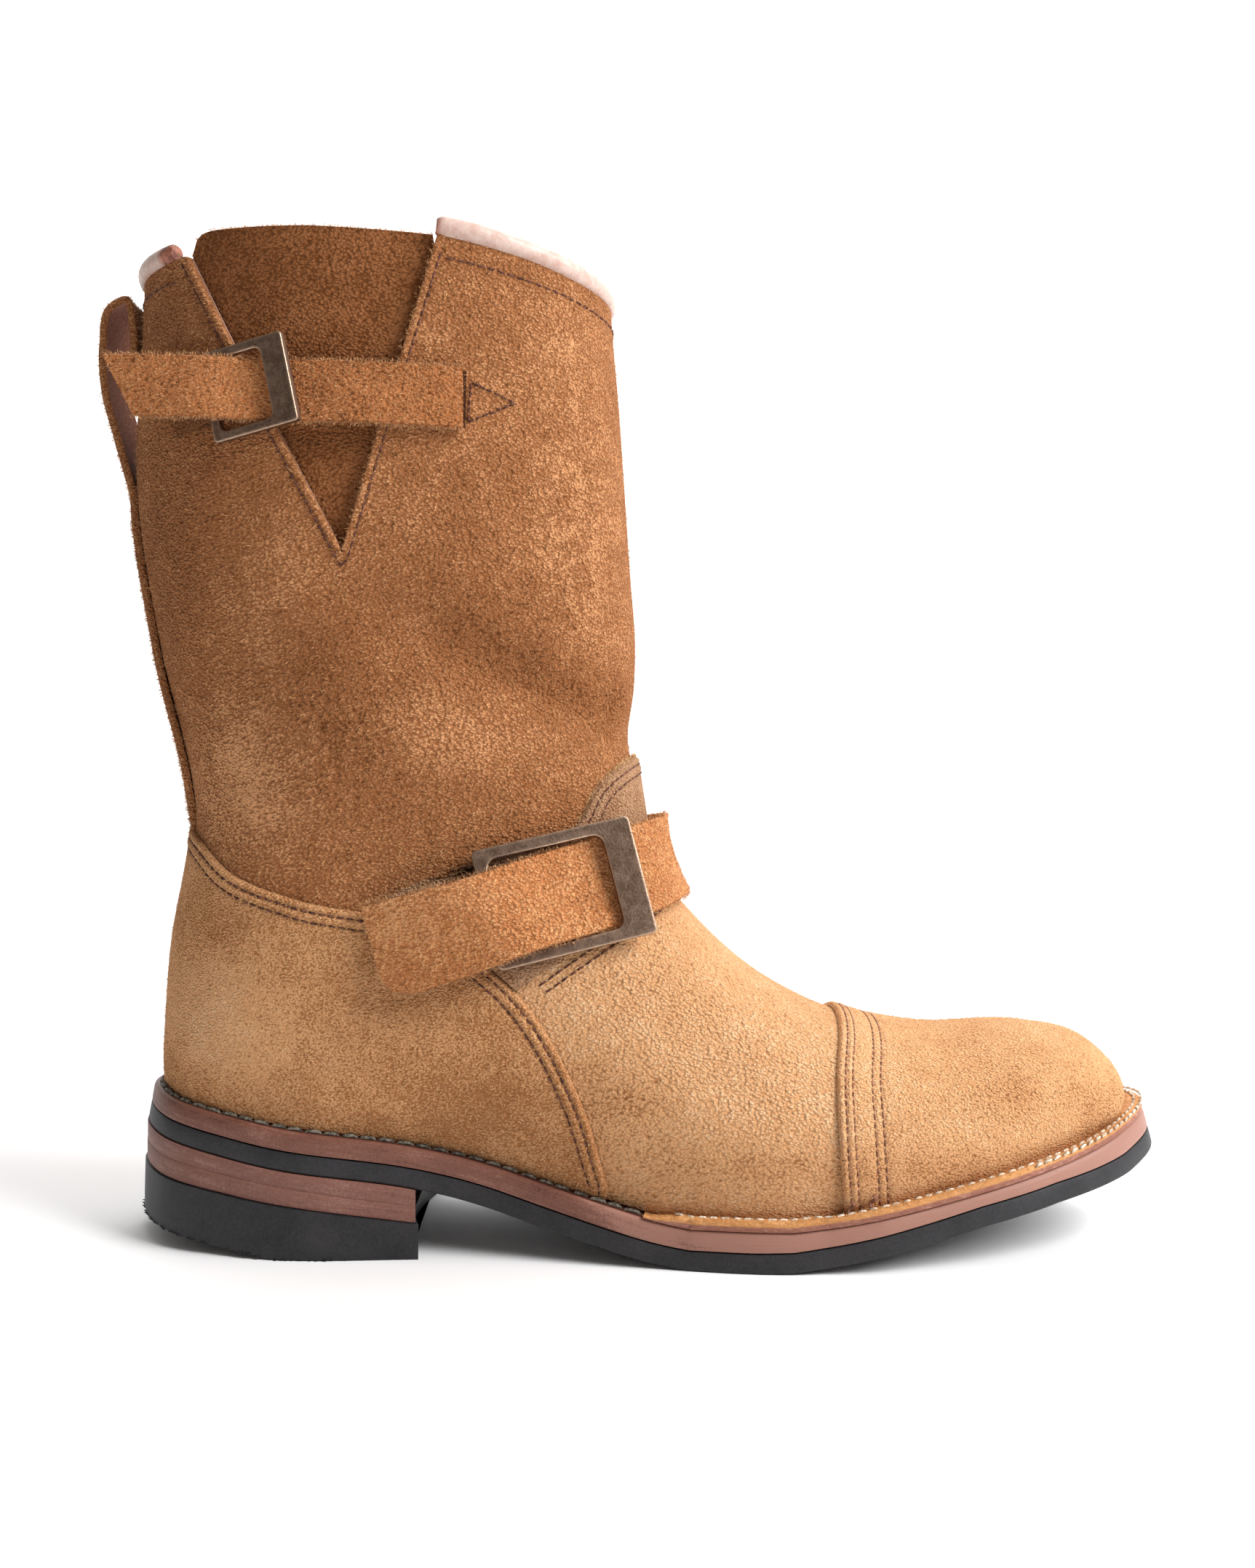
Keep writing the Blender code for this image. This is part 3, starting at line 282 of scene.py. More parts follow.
def sewn(line, up, pitch, length, thick, seed, skew=0.0, sink=0.25):
    """Stitches along a line, of a pitch, length and thickness: short round threads that dip at both ends."""
    rng = np.random.default_rng(seed)
    run = chords(line)
    at = np.arange(pitch / 2, run[-1], pitch)
    at = at + rng.uniform(-0.06, 0.06, len(at)) * pitch
    middle = np.column_stack([np.interp(at, run, column) for column in line.T])
    high = np.column_stack([np.interp(at, run, column) for column in up.T])
    ahead = np.column_stack([np.interp(at + 0.4, run, column) for column in line.T])
    behind = np.column_stack([np.interp(at - 0.4, run, column) for column in line.T])
    along = unit(ahead - behind)
    high = unit(high - along * np.sum(high * along, axis=1, keepdims=True))
    side = np.cross(high, along)
    turn = math.radians(skew) + rng.normal(0, 0.07, len(at))[:, None]
    along, side = along * np.cos(turn) + side * np.sin(turn), side * np.cos(turn) - along * np.sin(turn)
    shares = np.array([-0.5, -0.38, -0.1, 0.1, 0.38, 0.5])
    widths = np.array([0.35, 0.85, 1, 1, 0.85, 0.35])
    round_way = np.linspace(0, 2 * math.pi, 7)[:-1]
    rise = (widths - 1 - sink) * thick * 0.6 + thick * 0.3
    size = length * rng.uniform(0.92, 1.08, len(at))
    spine = middle[:, None] + along[:, None] * shares[None, :, None] * size[:, None, None]
    spine += high[:, None] * rise[None, :, None]
    wide = (widths * thick / 2)[None, :, None, None]
    ring = side[:, None, None] * np.cos(round_way)[None, None, :, None]
    ring = ring + high[:, None, None] * np.sin(round_way)[None, None, :, None]
    points = spine[:, :, None] + ring * wide
    one = np.array(grid_faces(len(shares), len(round_way), closed=True))
    faces = (one[None] + (np.arange(len(at)) * len(shares) * len(round_way))[:, None, None]).reshape(-1, 4)
    return points.reshape(-1, 3), faces.tolist()


def joined(pieces):
    """Points and faces of several meshes as one."""
    points, faces, start = [], [], 0
    for more, corners in pieces:
        points.append(np.asarray(more).reshape(-1, 3))
        faces += [[start + corner for corner in face] for face in corners]
        start += len(points[-1])
    return np.concatenate(points), faces


def thread(name, dark, light, roughness):
    """Twisted thread."""
    finish, tree, shader = new_finish(name, roughness, 0.25)
    ply = grain(tree, 1.0, 2, stretch=(900, 900, 900))
    paint(tree, shader, ply, [(0.35, dark), (0.65, light)])
    relief(tree, shader, ply, 0.0003, 0.8)
    return finish


SEAT_SEAM_END = 152.0
SEAT_SEAM_OUT = 2.0
SEAT_STITCH = 5.2, 4.8, 1.35
seat_thread = thread("seat_thread", (0.045, 0.037, 0.029), (0.21, 0.180, 0.140), 0.7)
loop = feather_loop(SEAT_SEAM_OUT, 1201)
seat_seams = []
for half in (loop[:600][::-1], loop[600:]):
    line = half[half[:, 0] < SEAT_SEAM_END]
    line = sole_point(*line.T, MIDSOLE_TOP - 0.2)
    upright = np.tile([0.0, 0.0, 1.0], (len(line), 1))
    seat_seams.append(sewn(line, upright, *SEAT_STITCH, 11, skew=9, sink=0.0))
add_piece("seat_seam", *joined(seat_seams), seat_thread, "sole_leather")

# Heel: two lifts of the same sole leather and a black rubber top lift, cemented and nailed up as a stack.
# The front face is hollowed, the back is worn to a bevel, and the rubber's lower edge is left ragged.
HEEL_LENGTH = 84.0
BREAST_HOLLOW = 5.0
BREAST_RADIUS = 110.0
BREAST_CENTRE = HEEL_LENGTH - BREAST_HOLLOW + BREAST_RADIUS
BREAST_FROM = 40.0
HEEL_BEVEL = 6.5
HEEL_FLAT_FROM = 46.0
UPPER_LIFT = (27.4, 14.8)
LOWER_LIFT = (21.8, 10.3)
LIFT_GRAIN = 8.0
CRUMB_END = 66.0
CRUMB_SHARE = 0.42


def lift_line(ends):
    """Height of the underside of a lift from its heights at the back and at the breast."""
    return lambda x: np.interp(x, [0, HEEL_LENGTH], ends)


def worn_tread(x):
    """Underside of the top lift."""
    return HEEL_BEVEL * np.clip(1 - x / HEEL_FLAT_FROM, 0, 1)


def heel_block(top, low, profile, each=70, across=17):
    """One lift of the heel from (grow, share of its height) pairs round its edge, and its marks."""
    rings, lays = [], []
    for grow, share in profile:
        reach = BREAST_RADIUS - grow
        loop = feather_loop(lambda x: ledge(x) + grow)
        tip = int(np.argmax(loop[:, 0]))
        halves = []
        for half in (loop[: tip + 1], loop[tip:][::-1]):
            ahead = half[:, 0] - BREAST_CENTRE
            kept = half[: int(np.argmax((np.hypot(ahead, half[:, 1]) < reach) & (half[:, 0] > BREAST_FROM)))]
            run = chords(kept)
            at = run[-1] * (1 - np.cos(np.linspace(0, math.pi / 2, each)))
            halves.append(np.column_stack([np.interp(at, run, column) for column in kept.T]))
        y = np.linspace(halves[0][-1, 1], halves[1][-1, 1], across)[1:-1]
        x = BREAST_CENTRE - np.sqrt(reach**2 - y**2)
        outline = np.vstack([halves[0], np.column_stack([x, y]), halves[1][::-1][:-1]])
        x = outline[:, 0]
        rings.append(np.column_stack([outline, low(x) + (top(x) - low(x)) * share]))
        lays.append(np.column_stack([outline, np.full(len(x), share * LIFT_GRAIN)]))
    count = len(rings[0])
    faces = grid_faces(len(rings), count, closed=True) + end_strips(len(rings), count, each - 1)
    breast = np.arange(each - 1, each + across - 1)
    faces += [breast[::-1].tolist(), ((len(rings) - 1) * count + breast).tolist()]
    return np.concatenate(rings), faces, {"lay": np.concatenate(lays) * MM}


HEEL_BROWNS = (0.085, 0.030, 0.022), (0.19, 0.080, 0.058), (0.33, 0.180, 0.14)
heel_leather = cut_leather("heel_leather", *HEEL_BROWNS, 0.55)
layers = [
    ("heel_lift_top", lambda x: tread_height(x) - 0.1, lift_line(UPPER_LIFT), 0.15, ["heel_lift_upper"]),
    ("heel_lift_bottom", lift_line(UPPER_LIFT), lift_line(LOWER_LIFT), 0.25, ["heel_lift_lower"]),
]
for name, top, low, grow, nodes in layers:
    half = [(grow - 1, 0.0), (grow, 0.0), (grow + 0.1, 0.05)]
    edge = half + [(out, 1 - share) for out, share in half[::-1]]
    points, faces, marks = heel_block(top, low, edge)
    add_piece(name, points, faces, heel_leather, "sole_leather", nodes, marks)
edge = [(-1, 0.0), (0.75, 0.0), (1.1, 0.03), (1.15, 0.3), (0.9, 0.97), (-1, 1.0)]
points, faces, marks = heel_block(lift_line(LOWER_LIFT), worn_tread, edge)
rim = heel_block(lift_line(LOWER_LIFT), worn_tread, [(0.9, 0.01)], 260, 3)[0]
rng = np.random.default_rng(5)
rim = rim[(rim[:, 0] < CRUMB_END) & (rng.random(len(rim)) < CRUMB_SHARE)]
crumb = np.array([(-0.5, 0, 0.35), (0.5, 0.1, 0.4), (0, 0.5, 0.1), (0, -0.5, 0.0), (0.1, 0, -0.55)])
crumb_faces = [[0, 1, 2], [1, 0, 3], [0, 2, 4], [2, 1, 4], [1, 3, 4], [3, 0, 4]]
crumbs = [(points, faces)]
for spot in rim:
    size = rng.uniform(0.5, 1.5) * np.array([rng.uniform(0.8, 2.2), 0.8, 0.7])
    shape = spot + crumb * size + rng.normal(0, 0.12, crumb.shape)
    shape[:, 2] = np.maximum(shape[:, 2], 0.02)
    crumbs.append((shape, crumb_faces))
add_piece("heel_top_lift", *joined(crumbs), rubber, "rubber", ["top_lift"])

# Insole: a thin board of plain tanned leather inside the boot, under the foot.
# It is glued over the filler and over the edge of the upper that was pulled under the last.
INSOLE = 2.5


def insole_rim(x):
    """Edge of the insole, inside the upper's wall."""
    return -np.interp(x, [0, 30], [6.0, 4.0])


insole_leather, tree, shader = new_finish("insole_leather", 0.65)
pore = grain(tree, 900, 4)
wear = grain(tree, 28, 3)
colours = [(0.3, (0.33, 0.19, 0.10)), (0.7, (0.60, 0.41, 0.26))]
paint(tree, shader, weigh(tree, (pore, 0.4), (wear, 0.6)), colours)
relief(tree, shader, pore, 0.0004, 0.5)
edge = [(0.6, SEAT), (0.0, SEAT + 0.4), (0.0, SEAT + 1.8), (0.5, SEAT + 2.3), (1.6, SEAT + INSOLE)]
points, faces, marks = sole_layer(edge, insole_rim, 360)
add_piece("insole_board", points, faces, insole_leather, "insole_leather", ["insole"], marks)

# Welt: a strip of tan leather round the forefoot, sewn to the upper and standing out over the midsole.
# A row of white waxed stitches runs along it, doubled round the toe, and its outer edge is left raw.
WELT = 2.8
WELT_START = 146.0
WELT_TAPER = 12.0
WELT_STITCH = 3.2, 2.7, 0.85
BURNISHED = 1.3
WELT_ROOM_X = [198, 203, 262, 290]
WELT_ROOM = [0.3, 2.5, 3.1, 4.6]


def two_colours(tree, shader, share, first, second):
    """Colour of the surface from two colour outputs, mixed by the share of the second."""
    mix = tree.nodes.new("ShaderNodeMix")
    mix.data_type = "RGBA"
    tree.links.new(share, mix.inputs["Factor"])
    tree.links.new(first, mix.inputs[6])
    tree.links.new(second, mix.inputs[7])
    tree.links.new(mix.outputs[2], shader.inputs["Base Color"])


def tube_faces(rows, count):
    """Faces of a closed tube of rings, with both ends shut."""
    last = (rows - 1) * count
    return grid_faces(rows, count, closed=True) + [list(range(count)), list(range(last, last + count))]


def welt_room(x):
    """Room between the feather line and the foot of the welt."""
    return np.interp(x, WELT_ROOM_X, WELT_ROOM)


welt_leather, tree, shader = new_finish("welt_leather", 0.7, 0.25)
raw = grain(tree, 1.0, 4, stretch=(500, 500, 1300), way="lay")
cloud = grain(tree, 55, 3)
colours = [(0.25, (0.22, 0.080, 0.022)), (0.5, (0.50, 0.225, 0.075)), (0.75, (0.70, 0.37, 0.15))]
burnt = [(0.25, (0.11, 0.040, 0.026)), (0.5, (0.27, 0.110, 0.074)), (0.75, (0.44, 0.22, 0.16))]
streaks = weigh(tree, (raw, 0.6), (cloud, 0.45))
tans, browns = tint(tree, streaks, colours), tint(tree, streaks, burnt)
two_colours(tree, shader, mark_of(tree, "burnished"), tans, browns)
relief(tree, shader, raw, 0.0006, 0.9)
outer = feather_loop(ledge)
low = feather_loop(welt_room)
lean = np.interp(low[:, 1], [0, 25], [2.4, 3.8])[:, None]
high = low + (feather_loop(lambda x: welt_room(x) + 1) - low) * lean
run = np.flatnonzero(outer[:, 0] > WELT_START)
bed = SEAT - 0.3
top = bed + WELT
outward = unit(outer - low)
corners = [
    (low, bed),
    (outer - outward * 0.2, bed - 0.1),
    (outer + outward * 0.05, bed + 0.5),
    (outer, bed + 1.1),
    (outer, bed + 1.6),
    (outer, top - 0.7),
    (outer - outward * 0.5, top - 0.15),
    (outer - outward * 1.2, top),
    (high + outward * 1.4, top - 0.05),
    (high + outward * 0.8, top - 0.4),
    (high, top - 0.1),
    (high - outward * 1.2, top - 0.5),
    (feather_loop(0.3), bed + 1.4),
]
RIM_CORNER, STITCH_CORNER = 6, 8
taper = np.clip((outer[run, 0] - WELT_START) / WELT_TAPER, 0.2, 1)
rings = [sole_point(*loop[run].T, bed + (height - bed) * taper) for loop, height in corners]
rings = np.stack(rings, axis=1)
lay = np.stack([np.column_stack([loop[run], np.full(len(run), height)]) for loop, height in corners], axis=1)
burnished = np.tile([height < bed + BURNISHED for _, height in corners], len(run)).astype(float)
marks = {"lay": lay.reshape(-1, 3) * MM, "burnished": burnished}
faces = tube_faces(len(run), len(corners))
add_piece("welt_strip", rings, faces, welt_leather, "welt_leather", ["welt"], marks)
welt_rim = rings[:, RIM_CORNER], rings[:, RIM_CORNER] - rings[:, STITCH_CORNER]
white_thread = thread("white_thread", (0.34, 0.25, 0.17), (0.74, 0.65, 0.54), 0.85)
rows = []
for inset, first, seed in ((1.0, WELT_START + 9, 21), (3.1, 262.0, 22)):
    line = (high + outward * inset)[run]
    line = line[line[:, 0] > first]
    line = sole_point(*line.T, top - 0.05)
    upright = np.tile([0.0, 0.0, 1.0], (len(line), 1))
    rows.append(sewn(line, upright, *WELT_STITCH, seed, skew=6, sink=0.5))
add_piece("welt_seam", *joined(rows), white_thread, "welt_leather")

# Upper: shaft and vamp of roughout leather, worn with the napped flesh side out. The shaft is a redder brown,
# the vamp golden. The shaft is split on the outer side, with the edges of the split turned over and sewn.
WALL = 2.2
# base, rise, top x, top z, ridge, outer, inner, full, square: rows from the toe tip to above the collar.
SECTIONS = np.array([
    (295.8, 0, 292.6, 38.5, 4, 4, 4, 0.50, 2.0),
    (292.5, 0, 292.2, 44.4, 4, -11, 19, 0.50, 2.0),
    (283.0, 0, 285.5, 52.8, 4, -21, 28, 0.42, 2.1),
    (262.0, 0, 268.0, 57.7, 4, -33, 38.5, 0.36, 2.2),
    (236.0, 0, 236.5, 57.3, 4, -42, 44.5, 0.33, 2.2),
    (210.0, 0, 211.0, 62.6, 4, -45.8, 46.5, 0.32, 2.1),
    (182.0, 0, 187.0, 74.2, 3, -47, 43.5, 0.34, 2.0),
    (142.0, 0, 164.6, 93.8, 2, -44.5, 37, 0.38, 2.0),
    (98.0, 0, 152.4, 112.5, 1, -40.5, 35.5, 0.42, 2.1),
    (54.0, 0, 147.9, 132.0, 0, -37.5, 35.5, 0.45, 2.1),
    (20.0, 0, 147.2, 151.0, 0, -37, 36, 0.46, 2.2),
    (4.0, 0, 146.6, 164.0, 0, -37.5, 37, 0.47, 2.2),
    (8.8, 84.0, 146.0, 183.0, 0, -39, 38.5, 0.48, 2.2),
    (14.6, 122.0, 145.4, 201.0, 0, -40.5, 40, 0.48, 2.2),
    (4.5, 172.0, 144.0, 224.0, 0, -42, 42, 0.48, 2.2),
    (-2.6, 217.0, 142.4, 247.0, 0, -43.5, 43.5, 0.48, 2.2),
    (-0.6, 282.0, 140.0, 277.0, 0, -44.5, 44.5, 0.48, 2.2),
    (-1.0, 302.0, 139.0, 296.0, 0, -45, 45, 0.48, 2.2),
])
BALL, HEEL_BACK, COUNTER, CALF, TOP = 6, 11, 12, 15, 17
COLLAR_X = [-2, 20, 60, 92, 112, 126, 140]
COLLAR_OUTER = [282.0, 284.0, 285.5, 287.6, 284.2, 281.0, 277.0]
COLLAR_INNER = [282.0, 280.0, 278.0, 277.0, 277.0, 277.0, 277.0]
SPLIT_FOOT = np.array([65.4, 199.8])
SPLIT_FRONT = np.array([94.0, 294.0]) - SPLIT_FOOT
SPLIT_BACK = np.array([14.5, 294.0]) - SPLIT_FOOT
loop = feather_loop(0.0)
tip = int(np.argmax(loop[:, 0]))
FEATHER_HALVES = loop[:tip], loop[tip:][::-1]
FEATHER_ENDS = loop[0, 0], loop[tip, 0]
SECTION_START = sole_point(SECTIONS[:, 0], 0, SEAT)[:, [0, 2]]
SECTION_START[HEEL_BACK + 1 :] = SECTIONS[HEEL_BACK + 1 :, :2]
SECTION_RUN = chords(np.hstack([SECTION_START, SECTIONS[:, 2:4]]))


def last_surface(u, v):
    """Outer face of the upper at section row u and place v: -1 outer edge, 0 ridge, 1 inner edge."""
    u, v = np.broadcast_arrays(np.asarray(u, float), np.asarray(v, float))
    at = np.interp(u, np.arange(len(SECTIONS)), SECTION_RUN)
    foot = slice(0, HEEL_BACK + 1)
    base = smooth(SECTION_RUN[foot], SECTIONS[foot, 0], np.minimum(at, SECTION_RUN[HEEL_BACK]))
    base = np.clip(base, *FEATHER_ENDS)
    seat = sole_point(base, 0, SEAT)
    leg_at = np.maximum(at, SECTION_RUN[HEEL_BACK])
    start_x, start_z = (
        np.where(u < HEEL_BACK, seat[..., axis], smooth(SECTION_RUN[HEEL_BACK:], column[HEEL_BACK:], leg_at))
        for axis, column in zip((0, 2), SECTION_START.T)
    )
    shape = (smooth(SECTION_RUN, row, at) for row in SECTIONS[:, 2:].T)
    top_x, top_z, ridge, outer, inner, full, square = shape
    outer_edge, inner_edge = (np.interp(base, half[:, 0], half[:, 1]) for half in FEATHER_HALVES)
    ridge = np.where(u < HEEL_BACK, np.clip(ridge, outer_edge, inner_edge), ridge)
    edge = np.where(u < HEEL_BACK, np.where(v < 0, outer_edge, inner_edge) - ridge, 0)
    width = np.where(u > 0, np.where(v < 0, outer, inner) - ridge, edge)
    least = 1e-4
    width = np.where(v < 0, np.minimum(width, edge - least), np.maximum(width, edge + least))
    power = 2 / square
    low = np.arccos(np.clip(edge / width, 0, 1) ** (1 / power))
    angle = math.pi / 2 - np.abs(v) * (math.pi / 2 + low)
    sine = np.abs(np.sin(angle)) ** power
    below = full * (1 - sine / np.maximum(np.sin(low) ** power, least))
    share = np.where(angle >= 0, full + (1 - full) * sine, below)
    across = ridge + width * np.maximum(np.cos(angle), 0) ** power
    x, z = start_x + (top_x - start_x) * share, start_z + (top_z - start_z) * share
    return np.stack([x, across, z], axis=-1)


def one_normal(u, v):
    """Outward direction from small steps along the sections and across them."""
    u = np.clip(u, 0.3, TOP - 0.06)
    along = last_surface(u + 0.05, v) - last_surface(u - 0.05, v)
    across = last_surface(u, np.minimum(v + 0.02, 1)) - last_surface(u, np.maximum(v - 0.02, -1))
    return unit(np.cross(across, along))


def surface_normal(u, v):
    """Outward direction, shared by the two sides at the toe tip and the back seam."""
    u, v = np.broadcast_arrays(np.asarray(u, float), np.asarray(v, float))
    normal = one_normal(u, v)
    seam = (u < 1e-6) | ((np.abs(v) > 1 - 1e-6) & (u >= HEEL_BACK))
    return unit(np.where(seam[..., None], normal + one_normal(u, -v), normal))


def surface(u, v, out):
    """Points at a distance out from the outer face of the upper."""
    return last_surface(u, v) + surface_normal(u, v) * np.asarray(out)[..., None]


def first_change(over, steps):
    """Step at which each column of over first changes sign."""
    change = np.argmax(over[:-1] * over[1:] <= 0, axis=0)
    column = np.arange(over.shape[1])
    before, after = over[change, column], over[change + 1, column]
    share = before / np.where(before == after, 1, before - after)
    return steps[change] + (steps[change + 1] - steps[change]) * np.clip(share, 0, 1)


collar_places = np.concatenate([np.linspace(-1, -0.9, 30)[:-1], np.linspace(-0.9, 1, 300)])
collar_steps = np.linspace(CALF, TOP, 81)
rim = last_surface(collar_steps[:, None], collar_places[None, :])
outer_rim, inner_rim = (smooth(COLLAR_X, row, rim[..., 0]) for row in (COLLAR_OUTER, COLLAR_INNER))
inner_share = np.where(collar_places > 0, 1, np.clip((-collar_places - 0.94) / 0.06, 0, 1))
rim_height = outer_rim + (inner_rim - outer_rim) * inner_share
collar_rows = first_change(rim[..., 2] - rim_height, collar_steps)


def leather_row(step, v):
    """Section row of the leather at a step: the steps above the calf end at the collar's edge."""
    top = np.interp(v, collar_places, collar_rows)
    return np.where(step <= CALF, step, CALF + (top - CALF) * (step - CALF))


def on_side(x, z):
    """Row and place on the outer side of the upper that lie at x and z in the side view."""
    rows, places = np.linspace(5, TOP - 0.1, 70), np.linspace(-0.97, -0.03, 80)
    known = last_surface(rows[:, None], places[None, :])[..., [0, 2]].reshape(-1, 2)
    wanted = np.column_stack([np.ravel(x), np.ravel(z)])
    near = [int(np.argmin(np.sum((known - spot) ** 2, axis=1))) for spot in wanted]
    u, v = rows[np.array(near) // len(places)], places[np.array(near) % len(places)]
    for _ in range(6):
        here = last_surface(u, v)[:, [0, 2]]
        by_u = (last_surface(u + 0.01, v)[:, [0, 2]] - here) / 0.01
        by_v = (last_surface(u, v + 0.002)[:, [0, 2]] - here) / 0.002
        miss = wanted - here
        size = by_u[:, 0] * by_v[:, 1] - by_u[:, 1] * by_v[:, 0]
        u = np.clip(u + (miss[:, 0] * by_v[:, 1] - miss[:, 1] * by_v[:, 0]) / size, 0.5, TOP - 0.06)
        v = np.clip(v + (by_u[:, 0] * miss[:, 1] - by_u[:, 1] * miss[:, 0]) / size, -0.995, -0.005)
    return u, v


def split_x(z, edge):
    """Where an edge of the split stands at a height."""
    return SPLIT_FOOT[0] + edge[0] * (z - SPLIT_FOOT[1]) / edge[1]


# Soft troughs and swells of the worn leather in the side view: x, z, slope, half length, half width, height.
FOLDS = [
    (120, 160, -26, 42, 9, -3.8),
    (122, 186, -24, 44, 15, 1.6),
    (92, 141, -20, 34, 13, 1.8),
    (36, 165, 16, 22, 11, -1.4),
    (48, 190, 10, 26, 14, 1.0),
    (58, 136, -24, 24, 12, 1.0),
    (22, 212, 84, 40, 9, 0.7),
    (112, 222, 80, 40, 14, 0.7),
    (168, 58, -42, 24, 9, -0.8),
    (182, 62, -46, 24, 8, 0.6),
    (150, 40, 70, 20, 9, -0.5),
]
# Heights over which the folds come in above the sole and go out below the collar.
FOLDS_LOW, FOLDS_RISE, FOLDS_HIGH, FOLDS_FADE = 30, 20, 285, 30


def worn(points):
    """How far the leather stands in or out at points of either side."""
    moved = np.zeros(points.shape[:-1])
    for x, z, slope, length, width, depth in FOLDS:
        turn = math.radians(slope)
        along = (points[..., 0] - x) * math.cos(turn) + (points[..., 2] - z) * math.sin(turn)
        across = (points[..., 2] - z) * math.cos(turn) - (points[..., 0] - x) * math.sin(turn)
        moved += depth * np.exp(-((along / length) ** 2) - (across / width) ** 2)
    return moved


# Patches in the side view that change the nap: x, z, reach along, reach up, shade, coarseness.
# The dark rows at (104, 173), (122, 164) and (138, 155) are painted shade along the fold's trough, and the
# light rows at (98, 149), (36, 138) and (28, 66) are painted light on the swell below it, the low back of the
# shaft and the back of the quarter.
# The rows near the sole make the leather darker towards the bottom.
PATCHES = [
    (66, 146, 24, 17, -0.13, 1.2),
    (52, 160, 16, 14, -0.05, 0.5),
    (112, 184, 20, 26, -0.05, 0.6),
    (104, 173, 13, 9, -0.10, 0.2),
    (122, 164, 14, 9, -0.16, 0.2),
    (138, 155, 10, 9, -0.14, 0.2),
    (128, 200, 12, 36, -0.02, 0.7),
    (98, 149, 20, 11, 0.16, -0.1),
    (48, 190, 18, 13, 0.09, 0.0),
    (84, 168, 18, 14, 0.05, -0.1),
    (36, 138, 22, 22, 0.38, 0.0),
    (28, 66, 24, 24, 0.33, 0.0),
    (130, 216, 15, 60, 0.12, 0.3),
    (30, 232, 12, 26, -0.05, 0.2),
    (112, 250, 16, 20, 0.05, 0.3),
    (24, 92, 14, 10, -0.06, 0.0),
    (60, 60, 34, 16, 0.04, 0.0),
    (34, 46, 24, 8, -0.14, 0.1),
    (96, 40, 26, 9, -0.12, 0.1),
    (146, 48, 13, 9, -0.16, 0.1),
    (172, 30, 30, 9, -0.17, 0.2),
    (186, 56, 26, 20, 0.12, 0.0),
    (254, 46, 13, 6, -0.15, 0.1),
    (236, 40, 16, 8, 0.05, 0.0),
    (280, 38, 8, 8, -0.13, 0.1),
    (236, 27, 40, 6, -0.18, 0.1),
]


def nap_and_light_marks(points, extra=0.0):
    """Shade and coarseness of the nap at points: the shade is partly tone of the leather, partly painted
    light and shade. The patches are fainter on the inner side.
    """
    shade, coarse = np.zeros(points.shape[:-1]) + extra, np.zeros(points.shape[:-1])
    side = np.interp(points[..., 1], [-5, 20], [1.0, 0.35])
    for x, z, long, tall, dark, rough in PATCHES:
        near = side * np.exp(-(((points[..., 0] - x) / long) ** 2) - ((points[..., 2] - z) / tall) ** 2)
        shade += dark * near
        coarse += rough * near
    return {"shade": np.ravel(shade), "coarse": np.ravel(coarse)}


SHAFT_BROWN = [(0.12, (0.165, 0.052, 0.014)), (0.5, (0.36, 0.138, 0.051)), (0.88, (0.82, 0.400, 0.185))]
STRAP_BROWN = [(0.12, (0.200, 0.062, 0.018)), (0.5, (0.54, 0.200, 0.070)), (0.88, (0.93, 0.470, 0.210))]
FOOT_GOLD = [(0.12, (0.38, 0.155, 0.056)), (0.5, (0.74, 0.385, 0.180)), (0.88, (0.96, 0.650, 0.390))]


def scaled(tree, output, by):
    """Product of two outputs, the first taken from its middle value."""
    node = tree.nodes.new("ShaderNodeMath")
    node.operation = "MULTIPLY"
    tree.links.new(weigh(tree, (output, 1.0), base=-0.5), node.inputs[0])
    tree.links.new(by, node.inputs[1])
    return node.outputs[0]


def tufts(tree, scale, stretch, turn):
    """Rounded tufts of fibres, as a height: scale in tufts per metre."""
    lay = tree.nodes.new("ShaderNodeMapping")
    lay.inputs["Rotation"].default_value = turn
    lay.inputs["Scale"].default_value = stretch
    tree.links.new(tree.nodes.new("ShaderNodeTexCoord").outputs["Object"], lay.inputs["Vector"])
    cells = tree.nodes.new("ShaderNodeTexVoronoi")
    cells.feature = "SMOOTH_F1"
    cells.inputs["Scale"].default_value = scale
    cells.inputs["Smoothness"].default_value = 0.35
    tree.links.new(lay.outputs["Vector"], cells.inputs["Vector"])
    return weigh(tree, (cells.outputs["Distance"], -1.0), base=0.9)


